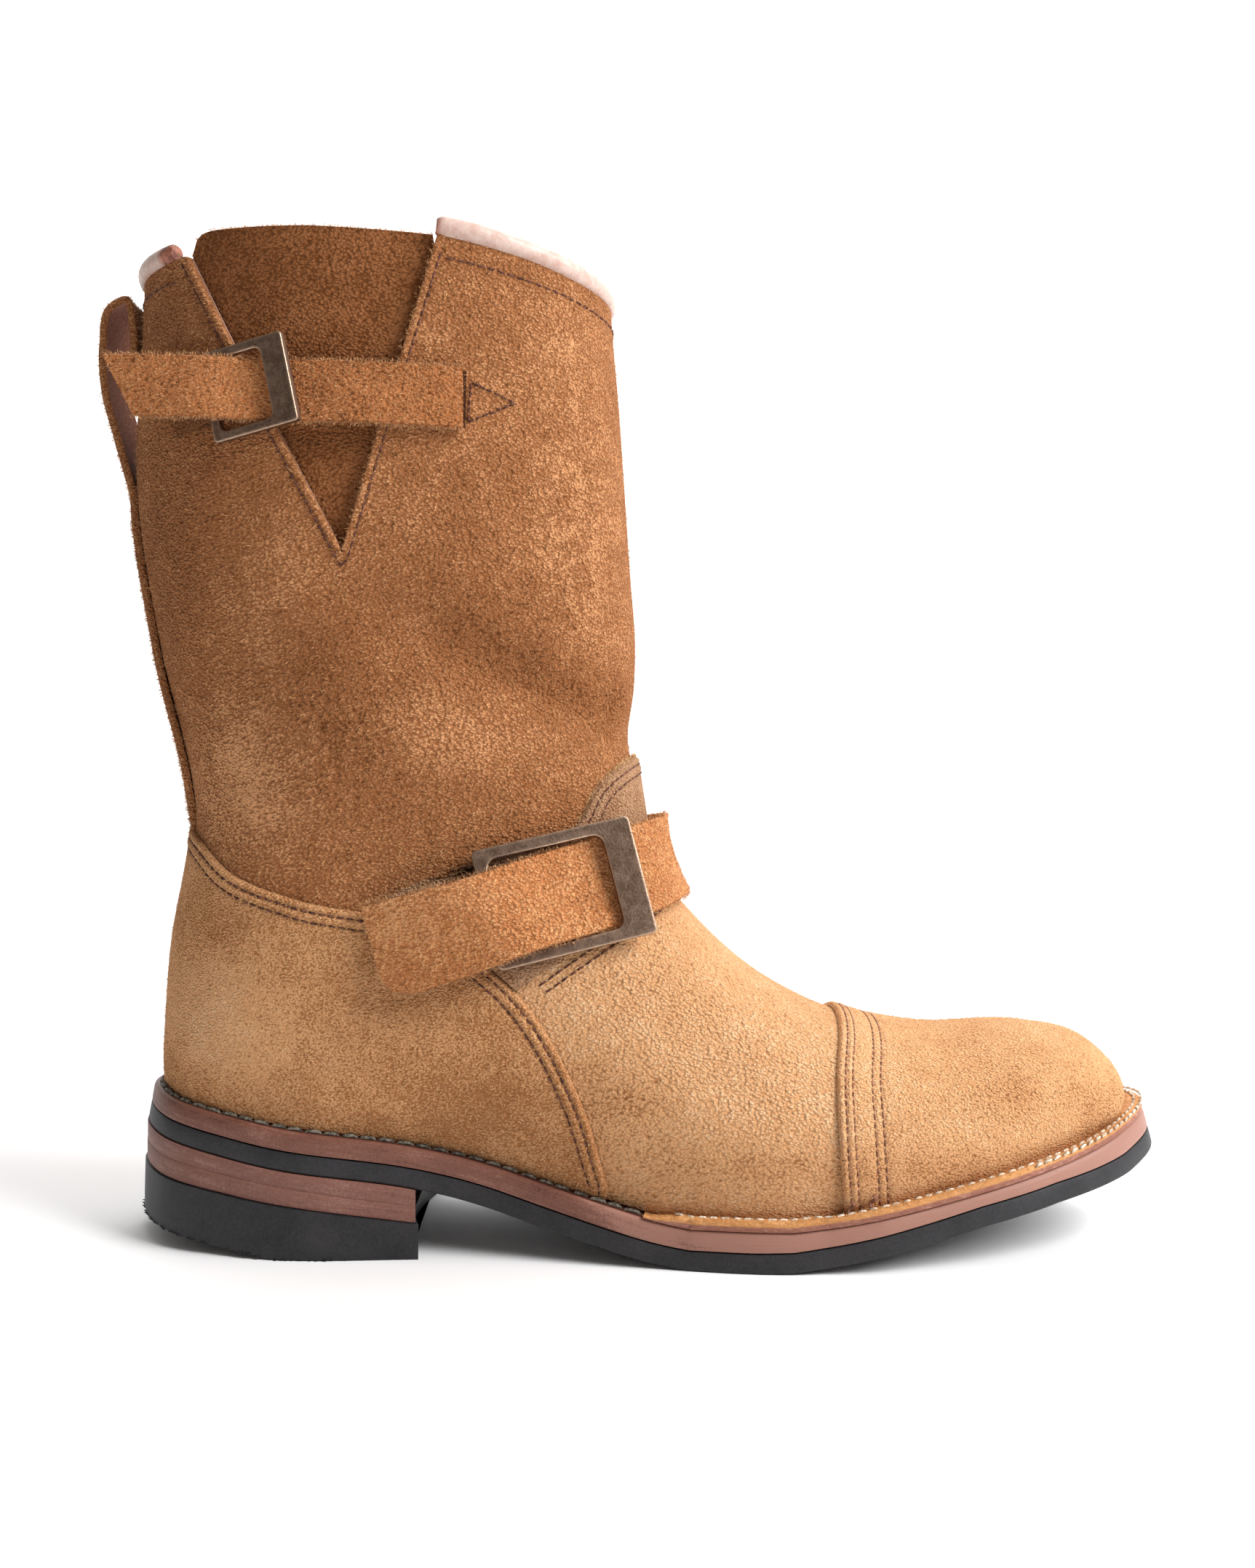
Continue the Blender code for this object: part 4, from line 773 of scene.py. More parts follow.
def roughout(name, colours, foot_colours=None, depth=0.0026, fine=1.0):
    """Napped flesh side of leather: clumped fibres, the pits between them painted darker as shade, and soft
    clouds of colour.
    """
    finish, tree, shader = new_finish(name, 0.95, 0.05)
    shader.inputs["Sheen Weight"].default_value = 0.06
    shader.inputs["Sheen Roughness"].default_value = 0.5
    shader.inputs["Sheen Tint"].default_value = (1.0, 0.74, 0.48, 1)
    tuft = tufts(tree, 1300 * fine, (0.75, 1, 1.1), (0, math.radians(38), 0))
    clump = grain(tree, 900 * fine, 4)
    fibre = grain(tree, 2800, 3)
    cloud = grain(tree, 26, 3)
    patch = grain(tree, 130, 2)
    lumps = scaled(tree, grain(tree, 430, 3), mark_of(tree, "coarse"))
    # Clump, tuft, fibre and lumps raise the relief and the colour together, so the pits between tufts are
    # painted darker as shade; cloud and patch are tone of the leather.
    tone_and_pit_shade = [(clump, 0.62), (tuft, 0.48), (fibre, 0.46), (cloud, 0.40), (patch, 0.30), (lumps, 0.6)]
    factor = weigh(tree, *tone_and_pit_shade, (mark_of(tree, "shade"), 0.8), base=-0.575)
    if foot_colours:
        browns, golds = tint(tree, factor, colours), tint(tree, factor, foot_colours)
        two_colours(tree, shader, mark_of(tree, "foot"), browns, golds)
    else:
        paint(tree, shader, factor, colours)
    relief(tree, shader, weigh(tree, (tuft, 0.50), (clump, 0.6), (fibre, 0.18), (lumps, 1.0)), depth, 1.0)
    return finish


upper_suede = roughout("upper_roughout", SHAFT_BROWN, FOOT_GOLD)
shaft_suede = roughout("shaft_roughout", SHAFT_BROWN)
foot_suede = roughout("foot_roughout", FOOT_GOLD, depth=0.0017, fine=1.3)
strap_suede = roughout("strap_roughout", STRAP_BROWN)

SPLIT_ROW = 13.2
BACK_COLUMNS, FRONT_COLUMNS = 52, 116
EDGE_STEPS = np.array([0, 0.15, 0.35, 0.6, 0.9, 1.3, 1.7, 2.1, 2.4, 2.7, 3.1, 3.6, 4.4, 5.6, 7.5])
steps = np.interp(np.linspace(0, SECTION_RUN[CALF], 225), SECTION_RUN, np.arange(len(SECTIONS)))
steps = np.concatenate([[0.0, 0.05], steps[1:-1], np.linspace(CALF, CALF + 1, 28)])
scan = np.linspace(-0.995, -0.02, 260)
leg = steps > HEEL_BACK
side = last_surface(leather_row(steps[leg][:, None], scan[None, :]), scan[None, :])
back_place = np.full(len(steps), np.nan)
front_place = np.full(len(steps), np.nan)
back_place[leg] = first_change((side[..., 0] - split_x(side[..., 2], SPLIT_BACK)).T, scan)
front_place[leg] = first_change((side[..., 0] - split_x(side[..., 2], SPLIT_FRONT)).T, scan)
open_rows = leg & (back_place < front_place) & (steps > SPLIT_ROW)
foot_place = float(on_side(*SPLIT_FOOT)[1][0])
back_place = np.where(open_rows, back_place, foot_place)
front_place = np.where(open_rows, front_place, foot_place)
rows = leather_row(steps, np.full(len(steps), foot_place))
beside = last_surface(rows, foot_place + 0.01) - last_surface(rows, foot_place - 0.01)
per_place = np.linalg.norm(beside, axis=1) / 0.02
reach = EDGE_STEPS[None, :] / np.maximum(per_place, 60)[:, None]
left = back_place[:, None] - reach * 1.12
right = front_place[:, None] + reach * 1.04
share = np.linspace(0, 1, BACK_COLUMNS)[None, 1:]
left = np.hstack([left, left[:, -1:] + (-1 - left[:, -1:]) * share])[:, ::-1]
share = np.linspace(0, 1, FRONT_COLUMNS)[None, 1:]
right = np.hstack([right, right[:, -1:] + (1 - right[:, -1:]) * share])
SPLIT_SEAM = 2.4


def folded_edge(away):
    """Height of a turned and sewn edge at a distance from it."""
    roll = np.clip(1 - away / 0.8, 0, 1)
    turned = 0.4 * np.clip((3.6 - away) / 1.4, 0, 1)
    groove = 0.45 * np.exp(-(((away - SPLIT_SEAM) / 0.45) ** 2))
    return turned - groove - 0.7 * (1 - np.sqrt(1 - roll**2))


VAMP_X = [-10, 30, 54, 108, 140, 160, 185]
VAMP_Z = [105, 97, 94, 84, 108, 125, 140]
upper_parts, upper_marks, edge_lines, grids = [], [], [], []
for places, edge in ((left, SPLIT_BACK), (right, SPLIT_FRONT)):
    u = leather_row(steps[:, None], places)
    bare, normal = last_surface(u, places), surface_normal(u, places)
    away = np.abs(bare[..., 0] - split_x(bare[..., 2], edge)) * abs(edge[1]) / np.linalg.norm(edge)
    away = np.where((bare[..., 2] > SPLIT_FOOT[1] - 2) & (places < 0), away, 50)
    low = np.clip((bare[..., 2] - FOLDS_LOW) / FOLDS_RISE, 0, 1)
    high = np.clip((FOLDS_HIGH - bare[..., 2]) / FOLDS_FADE, 0, 1)
    skin = bare + normal * (worn(bare) * low * high + folded_edge(away))[..., None]
    marks = nap_and_light_marks(skin)
    marks["foot"] = np.ravel(bare[..., 2] < np.interp(bare[..., 0], VAMP_X, VAMP_Z)).astype(float)
    marks["shade"] = marks["shade"] + np.ravel(0.10 * np.exp(-((away / 1.2) ** 2)))
    upper_parts.append((skin, grid_faces(*skin.shape[:2])))
    upper_marks.append(marks)
    grids.append((skin, normal))
    rim_column = -1 if edge is SPLIT_BACK else 0
    brim = skin[open_rows, rim_column], normal[open_rows, rim_column]
    strip = np.stack([brim[0] - brim[1] * drop for drop in (0, 0.8, 1.6)], axis=0)
    upper_parts.append((strip, grid_faces(*strip.shape[:2])))
    upper_marks.append({name: np.zeros(strip.size // 3) for name in marks})
    edge_lines.append(brim)
marks = {name: np.concatenate([each[name] for each in upper_marks]) for name in upper_marks[0]}
add_piece("upper_leather", *joined(upper_parts), upper_suede, "shaft_suede", ["upper"], marks)

# Lining: the smooth grain side of the upper's leather, which faces the foot because the flesh side is out.
# It isn't a layer of its own, only the inner face of the wall.
grain_side, tree, shader = new_finish("grain_side", 0.5, 0.4)
pore = grain(tree, 1600, 3)
cloud = grain(tree, 40, 3)
colours = [(0.3, (0.21, 0.105, 0.080)), (0.7, (0.34, 0.195, 0.155))]
paint(tree, shader, weigh(tree, (pore, 0.4), (cloud, 0.6)), colours)
relief(tree, shader, pore, 0.0003, 0.5)
lining = []
for skin, normal in grids:
    picked = np.unique(np.append(np.arange(0, skin.shape[1], 3), skin.shape[1] - 1))
    inner = (skin - normal * WALL)[::3][:, picked]
    inner = np.concatenate([inner, (skin - normal * WALL)[-1:, picked]])
    lining.append((inner[:, ::-1], grid_faces(*inner.shape[:2])))
add_piece("shaft_lining", *joined(lining), grain_side, "shaft_suede")

# Seams of the shaft: rows of dark waxed thread, sewn through the wall by machine. They hold the turned edges
# of the split, the piping below the collar, and in a triangle the front end of the shaft strap.
maroon_thread = thread("maroon_thread", (0.045, 0.015, 0.010), (0.165, 0.062, 0.040), 0.75)
COLLAR_SEAM = 6.4
SPLIT_STITCH, TRIANGLE_STITCH, COLLAR_STITCH = (2.8, 2.4, 0.62), (2.2, 1.9, 0.62), (2.9, 2.4, 0.62)
STRAP_TRIANGLE = [(101.2, 246.8), (100.2, 235.6), (113.2, 241.7), (101.2, 246.8)]


def side_seam(points, count, lift):
    """Line on the outer side of the upper through points of the side view, with its outward directions."""
    points = np.asarray(points, float)
    at = np.linspace(0, chords(points)[-1], count)
    x, z = (np.interp(at, chords(points), column) for column in points.T)
    u, v = on_side(x, z)
    line, normal = last_surface(u, v), surface_normal(u, v)
    high = np.clip((FOLDS_HIGH - z) / FOLDS_FADE, 0, 1)
    return line + normal * (worn(line) * high + lift)[:, None], normal


seams = []
for edge, way in ((SPLIT_FRONT, 1), (SPLIT_BACK, -1)):
    square = np.array([edge[1], -edge[0]]) / np.linalg.norm(edge) * way * SPLIT_SEAM
    ends = [SPLIT_FOOT + square + edge * 0.89, SPLIT_FOOT + square - edge * 0.02, SPLIT_FOOT + (0, -4.5)]
    seams.append(sewn(*side_seam(ends, 90, 0.05), *SPLIT_STITCH, 31))
seams.append(sewn(*side_seam(STRAP_TRIANGLE, 60, 0.15), *TRIANGLE_STITCH, 33))
for places in (np.linspace(front_place[-1] + 0.009, 1, 220), np.linspace(-1, back_place[-1] - 0.03, 60)):
    level = last_surface(leather_row(CALF + 1, places), places)[:, 2] - COLLAR_SEAM
    rows = first_change(last_surface(collar_steps[:, None], places[None, :])[..., 2] - level, collar_steps)
    seams.append(sewn(surface(rows, places, 0.1), surface_normal(rows, places), *COLLAR_STITCH, 34))
add_piece("shaft_seams", *joined(seams), maroon_thread, "shaft_suede")

# Gusset: a tongue of the same leather behind the split, with rounded upper corners and raw edges.
# It is held by the seams along the split, and stands a little above the collar.
GUSSET_CLEAR = 0.7
GUSSET = 1.5
PRESS_HEIGHT, PRESS_DEPTH, PRESS_REACH = 232.0, 0.6, 3.0
GUSSET_LEFT = np.array([(65, 184), (50, 210), (29.0, 257), (19.2, 284)])
GUSSET_RIGHT = np.array([(65, 184), (80, 212), (91, 240), (95, 262), (91, 284)])
GUSSET_TOP_SHARE = [0, 0.015, 0.05, 0.1, 0.5, 1]
GUSSET_TOP = [1.0, 4.8, 6.6, 7.0, 6.4, 4.2]


def even_path(points, count):
    """Places evenly spread along the smooth open curve through the points."""
    points = np.asarray(points, float)
    knots = chords(points)
    at = np.linspace(0, knots[-1], count)
    return np.column_stack([smooth(knots, column, at) for column in points.T])


low_side, high_side = even_path(GUSSET_LEFT, 60), even_path(GUSSET_RIGHT, 60)
share = np.linspace(0, 1, 44)[None, :, None]
flat = low_side[:, None] + (high_side - low_side)[:, None] * share
rise = np.linspace(0, 1, 60)[:, None] ** 5 * np.interp(share[0, :, 0], GUSSET_TOP_SHARE, GUSSET_TOP)[None, :]
flat[..., 1] += rise
u, v = on_side(flat[..., 0], flat[..., 1])
u, v = u.reshape(flat.shape[:2]), v.reshape(flat.shape[:2])
bare, normal = last_surface(u, v), surface_normal(u, v)
pressed = PRESS_DEPTH * np.exp(-(((bare[..., 2] - PRESS_HEIGHT) / PRESS_REACH) ** 2))
face = bare - normal * (WALL + GUSSET_CLEAR + pressed)[..., None]
back = face - normal * GUSSET
rim = np.concatenate([face[::-1, 0], face[0], face[:, -1], face[-1, ::-1]])
rim_back = np.concatenate([back[::-1, 0], back[0], back[:, -1], back[-1, ::-1]])
parts = [(face, grid_faces(*face.shape[:2])), (back[:, ::-1], grid_faces(*back.shape[:2]))]
parts.append((np.stack([rim, (rim + rim_back) / 2, rim_back]), grid_faces(3, len(rim))))
points, faces = joined(parts)
# The gusset is set 0.22 darker: partly its own darker tone, partly painted shade from the split's flaps in
# front of it.
add_piece("gusset_leather", points, faces, shaft_suede, "shaft_suede", ["gusset"], nap_and_light_marks(points, -0.22))
gusset_brim = face[-1]

# Collar piping: a strip of smooth pale pink leather rolled over the top edge of the shaft.
# It is sewn through below the roll, and its two cut ends at the split show raw red leather.
PIPING_RADIUS = 2.9
PIPING_ENDS = (15.5, 91.8)
piping_leather, tree, shader = new_finish("piping_leather", 0.42, 0.4)
pore = grain(tree, 1900, 3)
pull = grain(tree, 300, 2)
colours = [(0.3, (0.45, 0.280, 0.225)), (0.7, (0.58, 0.445, 0.390))]
raw_colours = [(0.3, (0.13, 0.034, 0.018)), (0.7, (0.46, 0.17, 0.10))]
pinks = tint(tree, weigh(tree, (pore, 0.35), (pull, 0.65)), colours)
two_colours(tree, shader, mark_of(tree, "raw"), pinks, tint(tree, pull, raw_colours))
relief(tree, shader, weigh(tree, (pore, 0.6), (pull, 0.3)), 0.0003, 0.4)
outer = np.linspace(-1, 0, 161)
rim = last_surface(leather_row(CALF + 1, outer), outer)
behind, front = (np.interp(end, rim[:, 0], outer) for end in PIPING_ENDS)
places = np.concatenate([np.linspace(front, 1, 230), np.linspace(-1, behind, 42)[1:]])
top = leather_row(CALF + 1, places)
normal = surface_normal(top, places)
line = last_surface(top, places) - normal * WALL / 2
line[:, 2] += PIPING_RADIUS - 0.5
square = unit(np.cross(unit(np.gradient(line, axis=0)), normal))
round_way = np.linspace(0, 2 * math.pi, 25)[:-1]
plump = 1 + 0.03 * np.sin(chords(line) / 5.3) + 0.03 * np.sin(chords(line) / 12.7)
ahead, behind = chords(line), chords(line)[-1] - chords(line)
ends = np.minimum(ahead, behind)
raw = np.maximum(np.clip(1.6 - ahead, 0, 1), np.clip((6.0 - behind) / 2.0, 0, 1))
plump *= np.clip(0.75 + ends / 4, 0, 1)
wide = PIPING_RADIUS * plump[:, None, None]
tube = line[:, None] + normal[:, None] * (np.cos(round_way)[None, :, None] * wide * 0.98)
tube = tube + square[:, None] * (np.sin(round_way)[None, :, None] * wide * 1.02)
faces = tube_faces(len(line), len(round_way))
marks = {"raw": np.repeat(raw, len(round_way))}
add_piece("collar_roll", tube, faces, piping_leather, "piping_leather", ["collar_piping"], marks)

# Pull loop: a strap of the shaft's leather sewn down the back seam, from the quarter's edge to the collar.
# At the top it is turned over and sewn in again as a loop, with its smooth side inward.
PULL_WIDTH = 24.0
PULL_RISE = [(-3.5, 256), (-3.5, 270), (-5.6, 278), (-9.8, 276)]
PULL_FALL = [(-12.4, 264), (-11.6, 250), (-8.6, 238), (-6, 228)]
PULL_SEWN, PULL_LOW = 220, 114
STRAP = 2.2


def band(inner, outward, thickness, bevel=0.35):
    """Strip of leather with cut edges from a grid on its inner face. Gives points and faces."""
    inner, outward = np.asarray(inner), np.asarray(outward)
    side = unit(inner[:, -1] - inner[:, 0]) * bevel
    under, over = inner.copy(), inner + outward * thickness
    for face in (under, over):
        face[:, 0] += side
        face[:, -1] -= side
    far = [inner[:, -1] + outward[:, -1] * thickness * height for height in (0.2, 0.8)]
    near = [inner[:, 0] + outward[:, 0] * thickness * height for height in (0.8, 0.2)]
    ring = [under[:, lane] for lane in range(under.shape[1])] + far
    ring += [over[:, lane] for lane in range(over.shape[1])][::-1] + near
    ring = np.stack(ring, axis=1)
    return ring, tube_faces(*ring.shape[:2])


rows = np.linspace(COUNTER + 1, CALF, 60)
seam = last_surface(rows, 1.0)[:, [0, 2]]
z = np.linspace(PULL_SEWN, PULL_LOW, 14)
tuck = np.interp(z, [PULL_LOW, PULL_LOW + 14], [1.6, -0.4])
sewn_run = np.column_stack([np.interp(z, seam[:, 1], seam[:, 0]) + tuck - STRAP / 2, z])
centre = even_path(np.vstack([PULL_RISE, PULL_FALL, sewn_run]), 190)
along = np.gradient(centre, axis=0)
out = unit(np.column_stack([along[:, 1], -along[:, 0]]))
lanes = np.linspace(-PULL_WIDTH / 2, PULL_WIDTH / 2, 15)
outward = np.zeros((len(centre), len(lanes), 3))
outward[..., 0], outward[..., 2] = out[:, :1], out[:, 1:]
inner = np.zeros_like(outward)
hug = np.interp(centre[:, 1], [215, 250], [74, 140])[:, None]
inner[..., 0] = (centre[:, 0] - out[:, 0] * STRAP / 2)[:, None] + lanes**2 / hug
inner[..., 1] = lanes
inner[..., 2] = (centre[:, 1] - out[:, 1] * STRAP / 2)[:, None]
points, faces = band(inner, outward, STRAP)
pull = add_piece("pull_strap", points, faces, shaft_suede, "shaft_suede", ["pull_loop"], nap_and_light_marks(points))
loop_inside, tree, shader = new_finish("loop_inside", 0.95, 0.03)
paint(tree, shader, grain(tree, 1400, 3), [(0.3, (0.26, 0.118, 0.082)), (0.7, (0.47, 0.245, 0.180))])
pull.data.materials.append(loop_inside)
smooth_lanes = np.tile(np.arange(points.shape[1]) < len(lanes) - 1, len(points) - 1).astype(int)
kinds = np.zeros(len(pull.data.polygons), int)
kinds[: len(smooth_lanes)] = smooth_lanes
pull.data.polygons.foreach_set("material_index", kinds)
pull_grid = inner + outward * STRAP, outward

# Quarter: a panel of golden roughout round the heel, which stiffens the back of the boot.
# Its edge is turned and sewn with two rows over the shaft and the vamp.
OVERLAY = 1.9
PRESSED = 9.0
QUARTER_EDGE = [(2, 126), (21, 117), (31, 109.2), (51, 101.8), (85, 94.5), (113, 76.5)]
QUARTER_EDGE += [(132.6, 44.7), (139.4, 22)]
quarter_line = np.vstack([even_path(QUARTER_EDGE, 80), [(139.8, -50)]])
PANEL_STEPS = [0, 0.12, 0.3, 0.6, 1.0, 1.5, 1.9, 2.2, 2.5, 3.0, 3.7, 4.3, 4.7, 5.0, 5.3, 5.8, 6.6, 7.8]
PANEL_STEPS = np.array(PANEL_STEPS)
DOUBLE_SEAM = (2.2, 5.0)
PANEL_STITCH = 2.7, 2.25, 0.62


def above_quarter(points):
    """Height above the quarter's edge in the side view."""
    return points[..., 2] - np.interp(points[..., 0], quarter_line[:, 0], quarter_line[:, 1])


def clear_of_sole(points):
    """Share from 0 at the sole to 1 where a panel is no longer pressed down by it."""
    return np.clip((points[..., 2] - sole_point(points[..., 0], 0, SEAT)[..., 2]) / PRESSED, 0, 1)


def away_from(points, line):
    """Distance of each point from a line of points."""
    flat = points.reshape(-1, 3)
    nearest = np.min(np.linalg.norm(flat[:, None] - line[None], axis=2), axis=1)
    return nearest.reshape(points.shape[:-1])


def panel_height(away, thick, seams=DOUBLE_SEAM):
    """Height of a panel's face above the leather under it, at a distance from its sewn edge."""
    roll = np.clip(1 - away / 1.1, 0, 1)
    grooves = sum(0.42 * np.exp(-(((away - seam) / 0.5) ** 2)) for seam in seams)
    puff = 0.3 * np.exp(-(((away - np.mean(seams[:2])) / 1.2) ** 2))
    return thick * np.sqrt(np.maximum(1 - roll**2, 0.02)) - grooves + puff


def seam_at(points, normals, away, distance):
    """Line across a grid of points at a distance from the panel's edge, with outward directions."""
    line, out = [], []
    for row, up, far in zip(points, normals, away):
        past = np.flatnonzero(far >= distance)
        if len(past) and past[0] > 0 and far.max() > distance + 0.6:
            number = past[0]
            share = (distance - far[number - 1]) / (far[number] - far[number - 1])
            line.append(row[number - 1] + (row[number] - row[number - 1]) * share)
            out.append(up[number])
    return np.array(line), np.array(out)


seat_rows = np.linspace(BALL, 13.6, 500)
seat_over = above_quarter(last_surface(seat_rows, -1.0))
inside = seat_rows[seat_over < 0]
spread = (1 - np.cos(np.linspace(0, math.pi, 150))) / 2
rows = inside[0] + (inside[-1] - inside[0]) * spread
quarter_parts, quarter_seams, quarter_grids = [], [], []
for way in (-1, 1):
    scan = way * np.linspace(1, 0.02, 300)
    field = last_surface(rows[:, None], scan[None, :])
    edge_place = first_change(above_quarter(field).T, np.arange(len(scan), dtype=float))
    edge_place = np.interp(edge_place, np.arange(len(scan)), scan)
    places = []
    for row, start in zip(rows, edge_place):
        fine = np.linspace(start, way, 120)
        run = chords(last_surface(row, fine))
        near = PANEL_STEPS * min(1, 0.6 * run[-1] / PANEL_STEPS[-1])
        at = np.concatenate([near, np.linspace(near[-1], run[-1], 54)[1:]])
        places.append(np.interp(at, run, fine))
    places = np.array(places)
    u = np.repeat(rows[:, None], places.shape[1], axis=1)
    bare, normal = last_surface(u, places), surface_normal(u, places)
    away = away_from(bare, bare[:, 0])
    height = panel_height(away, OVERLAY) * (0.55 + 0.45 * clear_of_sole(bare))
    skin = bare + normal * (height + 0.6 * worn(bare))[..., None]
    quarter_parts.append((skin, grid_faces(*skin.shape[:2])))
    quarter_grids.append((skin, normal))
    for number, distance in enumerate(DOUBLE_SEAM):
        line, out = seam_at(skin, normal, away, distance)
        quarter_seams.append(sewn(line + out * 0.05, out, *PANEL_STITCH, 41 + number))
points, faces = joined(quarter_parts)
add_piece("quarter_panel", points, faces, foot_suede, "foot_suede", ["quarter"], nap_and_light_marks(points, -0.27))
add_piece("quarter_seams", *joined(quarter_seams), maroon_thread, "foot_suede")

# Tongue: a saddle of golden roughout over the instep. Its wings run back under the strap to the quarter, and
# its upper edge and the vamp's edge in front of it are each sewn twice.
TONGUE_TOP = [(54, 102.5), (80, 107), (104, 112.7), (130, 122), (136, 133), (148, 142), (175, 146)]
TONGUE_LENGTH = 28.0
WING_END = 66.0
VAMP_SEAMS = (2.875, 5.98)
VAMP_SEAM_END = 116.0
TONGUE_TAN_AND_SHADE = [(0.12, (0.24, 0.100, 0.045)), (0.5, (0.46, 0.262, 0.147)), (0.88, (0.76, 0.510, 0.340))]
TONGUE_FOOT = [(108, 72), (134.5, 90.2), (150, 100), (175, 114)]
top_line, foot_line = even_path(TONGUE_TOP, 60), np.vstack([[(106, -50)], even_path(TONGUE_FOOT, 40)])


def above_tongue(points):
    """Height above the tongue's upper edge in the side view."""
    return points[..., 2] - np.interp(points[..., 0], top_line[:, 0], top_line[:, 1])


def above_tongue_foot(points, drop=0.0):
    """Height above the tongue's lower edge, or above the quarter's edge where that is higher."""
    foot = np.interp(points[..., 0], foot_line[:, 0], foot_line[:, 1]) - drop
    return np.minimum(points[..., 2] - foot, above_quarter(points) - 0.4)


scan = np.linspace(BALL - 0.5, COUNTER + 0.6, 420)
places = np.linspace(-0.97, 0.97, 281)
field = last_surface(scan[:, None], places[None, :])
low = first_change(above_tongue_foot(field), scan)
high = first_change(above_tongue(field), scan)
good = (high - low > 0.02) & (above_tongue_foot(field)[0] < 0)
middle = len(places) // 2
first = middle - int(np.argmin(good[: middle + 1][::-1]))
last = middle + int(np.argmin(good[middle:]))
kept = slice(first + 1, last)
places, low, high = places[kept], low[kept], high[kept]
near = np.array([0, 0.3, 0.7, 1.2, 1.7, 2.2, 2.7, 3.4, 4.2, 4.7, 5.2, 5.8, 6.8])
share = np.concatenate([np.linspace(0, 0.5, 22), 1 - near[::-1] / TONGUE_LENGTH])
share = np.unique(np.clip(share, 0, 1))[::-1]
u = low[:, None] + (high - low)[:, None] * share[None, :]
v = np.repeat(places[:, None], len(share), axis=1)
bare, normal = last_surface(u, v), surface_normal(u, v)
away = np.minimum(away_from(bare, bare[:, 0]), away_from(bare, bare[:, -1]) + 1.5)
skin = bare + normal * (panel_height(away, OVERLAY) + 0.5 * worn(bare))[..., None]
points, faces = skin[:, ::-1].reshape(-1, 3), grid_faces(*skin.shape[:2])
past = (above_quarter(points) < -1.0) | (points[:, 0] < WING_END)
faces = [face for face in faces if not past[face].any()]
# The tongue's paler tan is its own, but its colours are darkened, and its marks take off another 0.20, as
# painted shade under the strap and buckle.
tongue_suede = roughout("tongue_roughout", TONGUE_TAN_AND_SHADE, depth=0.0017, fine=1.3)
add_piece("tongue_saddle", points, faces, tongue_suede, "foot_suede", ["tongue"], nap_and_light_marks(points, -0.20))
tongue_grid = skin, normal
tongue_seams = []
for number, distance in enumerate(DOUBLE_SEAM):
    line, out = seam_at(skin, normal, away_from(bare, bare[:, 0]), distance)
    wide = line[:, 0] > WING_END + distance
    tongue_seams.append(sewn((line + out * 0.05)[wide], out[wide], *PANEL_STITCH, 51 + number))
places = np.linspace(-0.62, 0.62, 180)
field = last_surface(scan[:, None], places[None, :])
for number, drop in enumerate(VAMP_SEAMS):
    rows = first_change(above_tongue_foot(field, drop), scan)
    line, out = surface(rows, places, 0.15), surface_normal(rows, places)
    front = line[:, 0] > VAMP_SEAM_END
    tongue_seams.append(sewn(line[front], out[front], *PANEL_STITCH, 53 + number))
add_piece("tongue_seams", *joined(tongue_seams), maroon_thread, "foot_suede")

# Toe cap: a second layer of golden roughout, drawn over the toe with the vamp and held under the welt.
# Its straight edge is sewn with two pairs of rows, whose thread ends are knotted above the welt.
CAP_EDGE = [(212.5, 78.0), (208.6, 65.0), (204.2, 53.0), (203.4, 38.0), (204.0, 26.0), (206.0, 8.0)]
CAP_SEAMS = (2.2, 4.3, 10.1, 12.5)
CAP_STEPS = [0, 0.12, 0.3, 0.6, 1.0, 1.5, 1.9, 2.2, 2.5, 3.2, 3.9, 4.3, 4.7, 6, 8, 9.6, 10.1, 10.6]
CAP_STEPS = np.array(CAP_STEPS + [11.9, 12.5, 13, 14.5])
CAP_STITCH, KNOT_STITCH = (2.5, 2.05, 0.6), (1.0, 1.5, 1.05)
KNOTS = [(206.6, -47.2, 18.0), (212.7, -46.6, 19.6)]
cap_line = even_path(CAP_EDGE, 60)[::-1]


def ahead_of_cap(points):
    """Distance ahead of the cap's edge in the side view."""
    return points[..., 0] - np.interp(points[..., 2], cap_line[:, 1], cap_line[:, 0])


scan = np.linspace(2, BALL + 0.9, 320)
places = np.linspace(-1, 1, 171)
rows = first_change(ahead_of_cap(last_surface(scan[:, None], places[None, :])), scan)
grid_rows = []
for row, place in zip(rows, places):
    fine = np.concatenate([np.linspace(row, 0.4, 90), [0.25, 0.12, 0.05, 0.0]])
    run = chords(last_surface(fine, place))
    at = np.concatenate([CAP_STEPS, np.linspace(CAP_STEPS[-1], run[-1], 62)[1:]])
    grid_rows.append(np.interp(at, run, fine))
u = np.array(grid_rows)
v = np.repeat(places[:, None], u.shape[1], axis=1)
bare, normal = last_surface(u, v), surface_normal(u, v)
away = away_from(bare, bare[:, 0])
height = panel_height(away, OVERLAY + 0.1, CAP_SEAMS) * (0.6 + 0.4 * clear_of_sole(bare))
skin = bare + normal * height[..., None]
faces = grid_faces(*skin.shape[:2])
add_piece("toe_cap_leather", skin, faces, foot_suede, "foot_suede", ["toe_cap"], nap_and_light_marks(skin))
cap_grid = skin, normal
cap_seams = []
for number, distance in enumerate(CAP_SEAMS):
    line, out = seam_at(skin, normal, away, distance)
    cap_seams.append(sewn(line + out * 0.05, out, *CAP_STITCH, 61 + number))
for number, knot in enumerate(KNOTS):
    turn = np.linspace(0, 5.0, 16)
    curl = np.column_stack([np.sin(turn) * 0.8, -np.cos(turn) * 0.7 - 0.4, 1.6 - turn * 0.6]) + knot
    cap_seams.append(sewn(curl, np.tile([0.0, -1.0, 0.3], (16, 1)), *KNOT_STITCH, 66 + number))
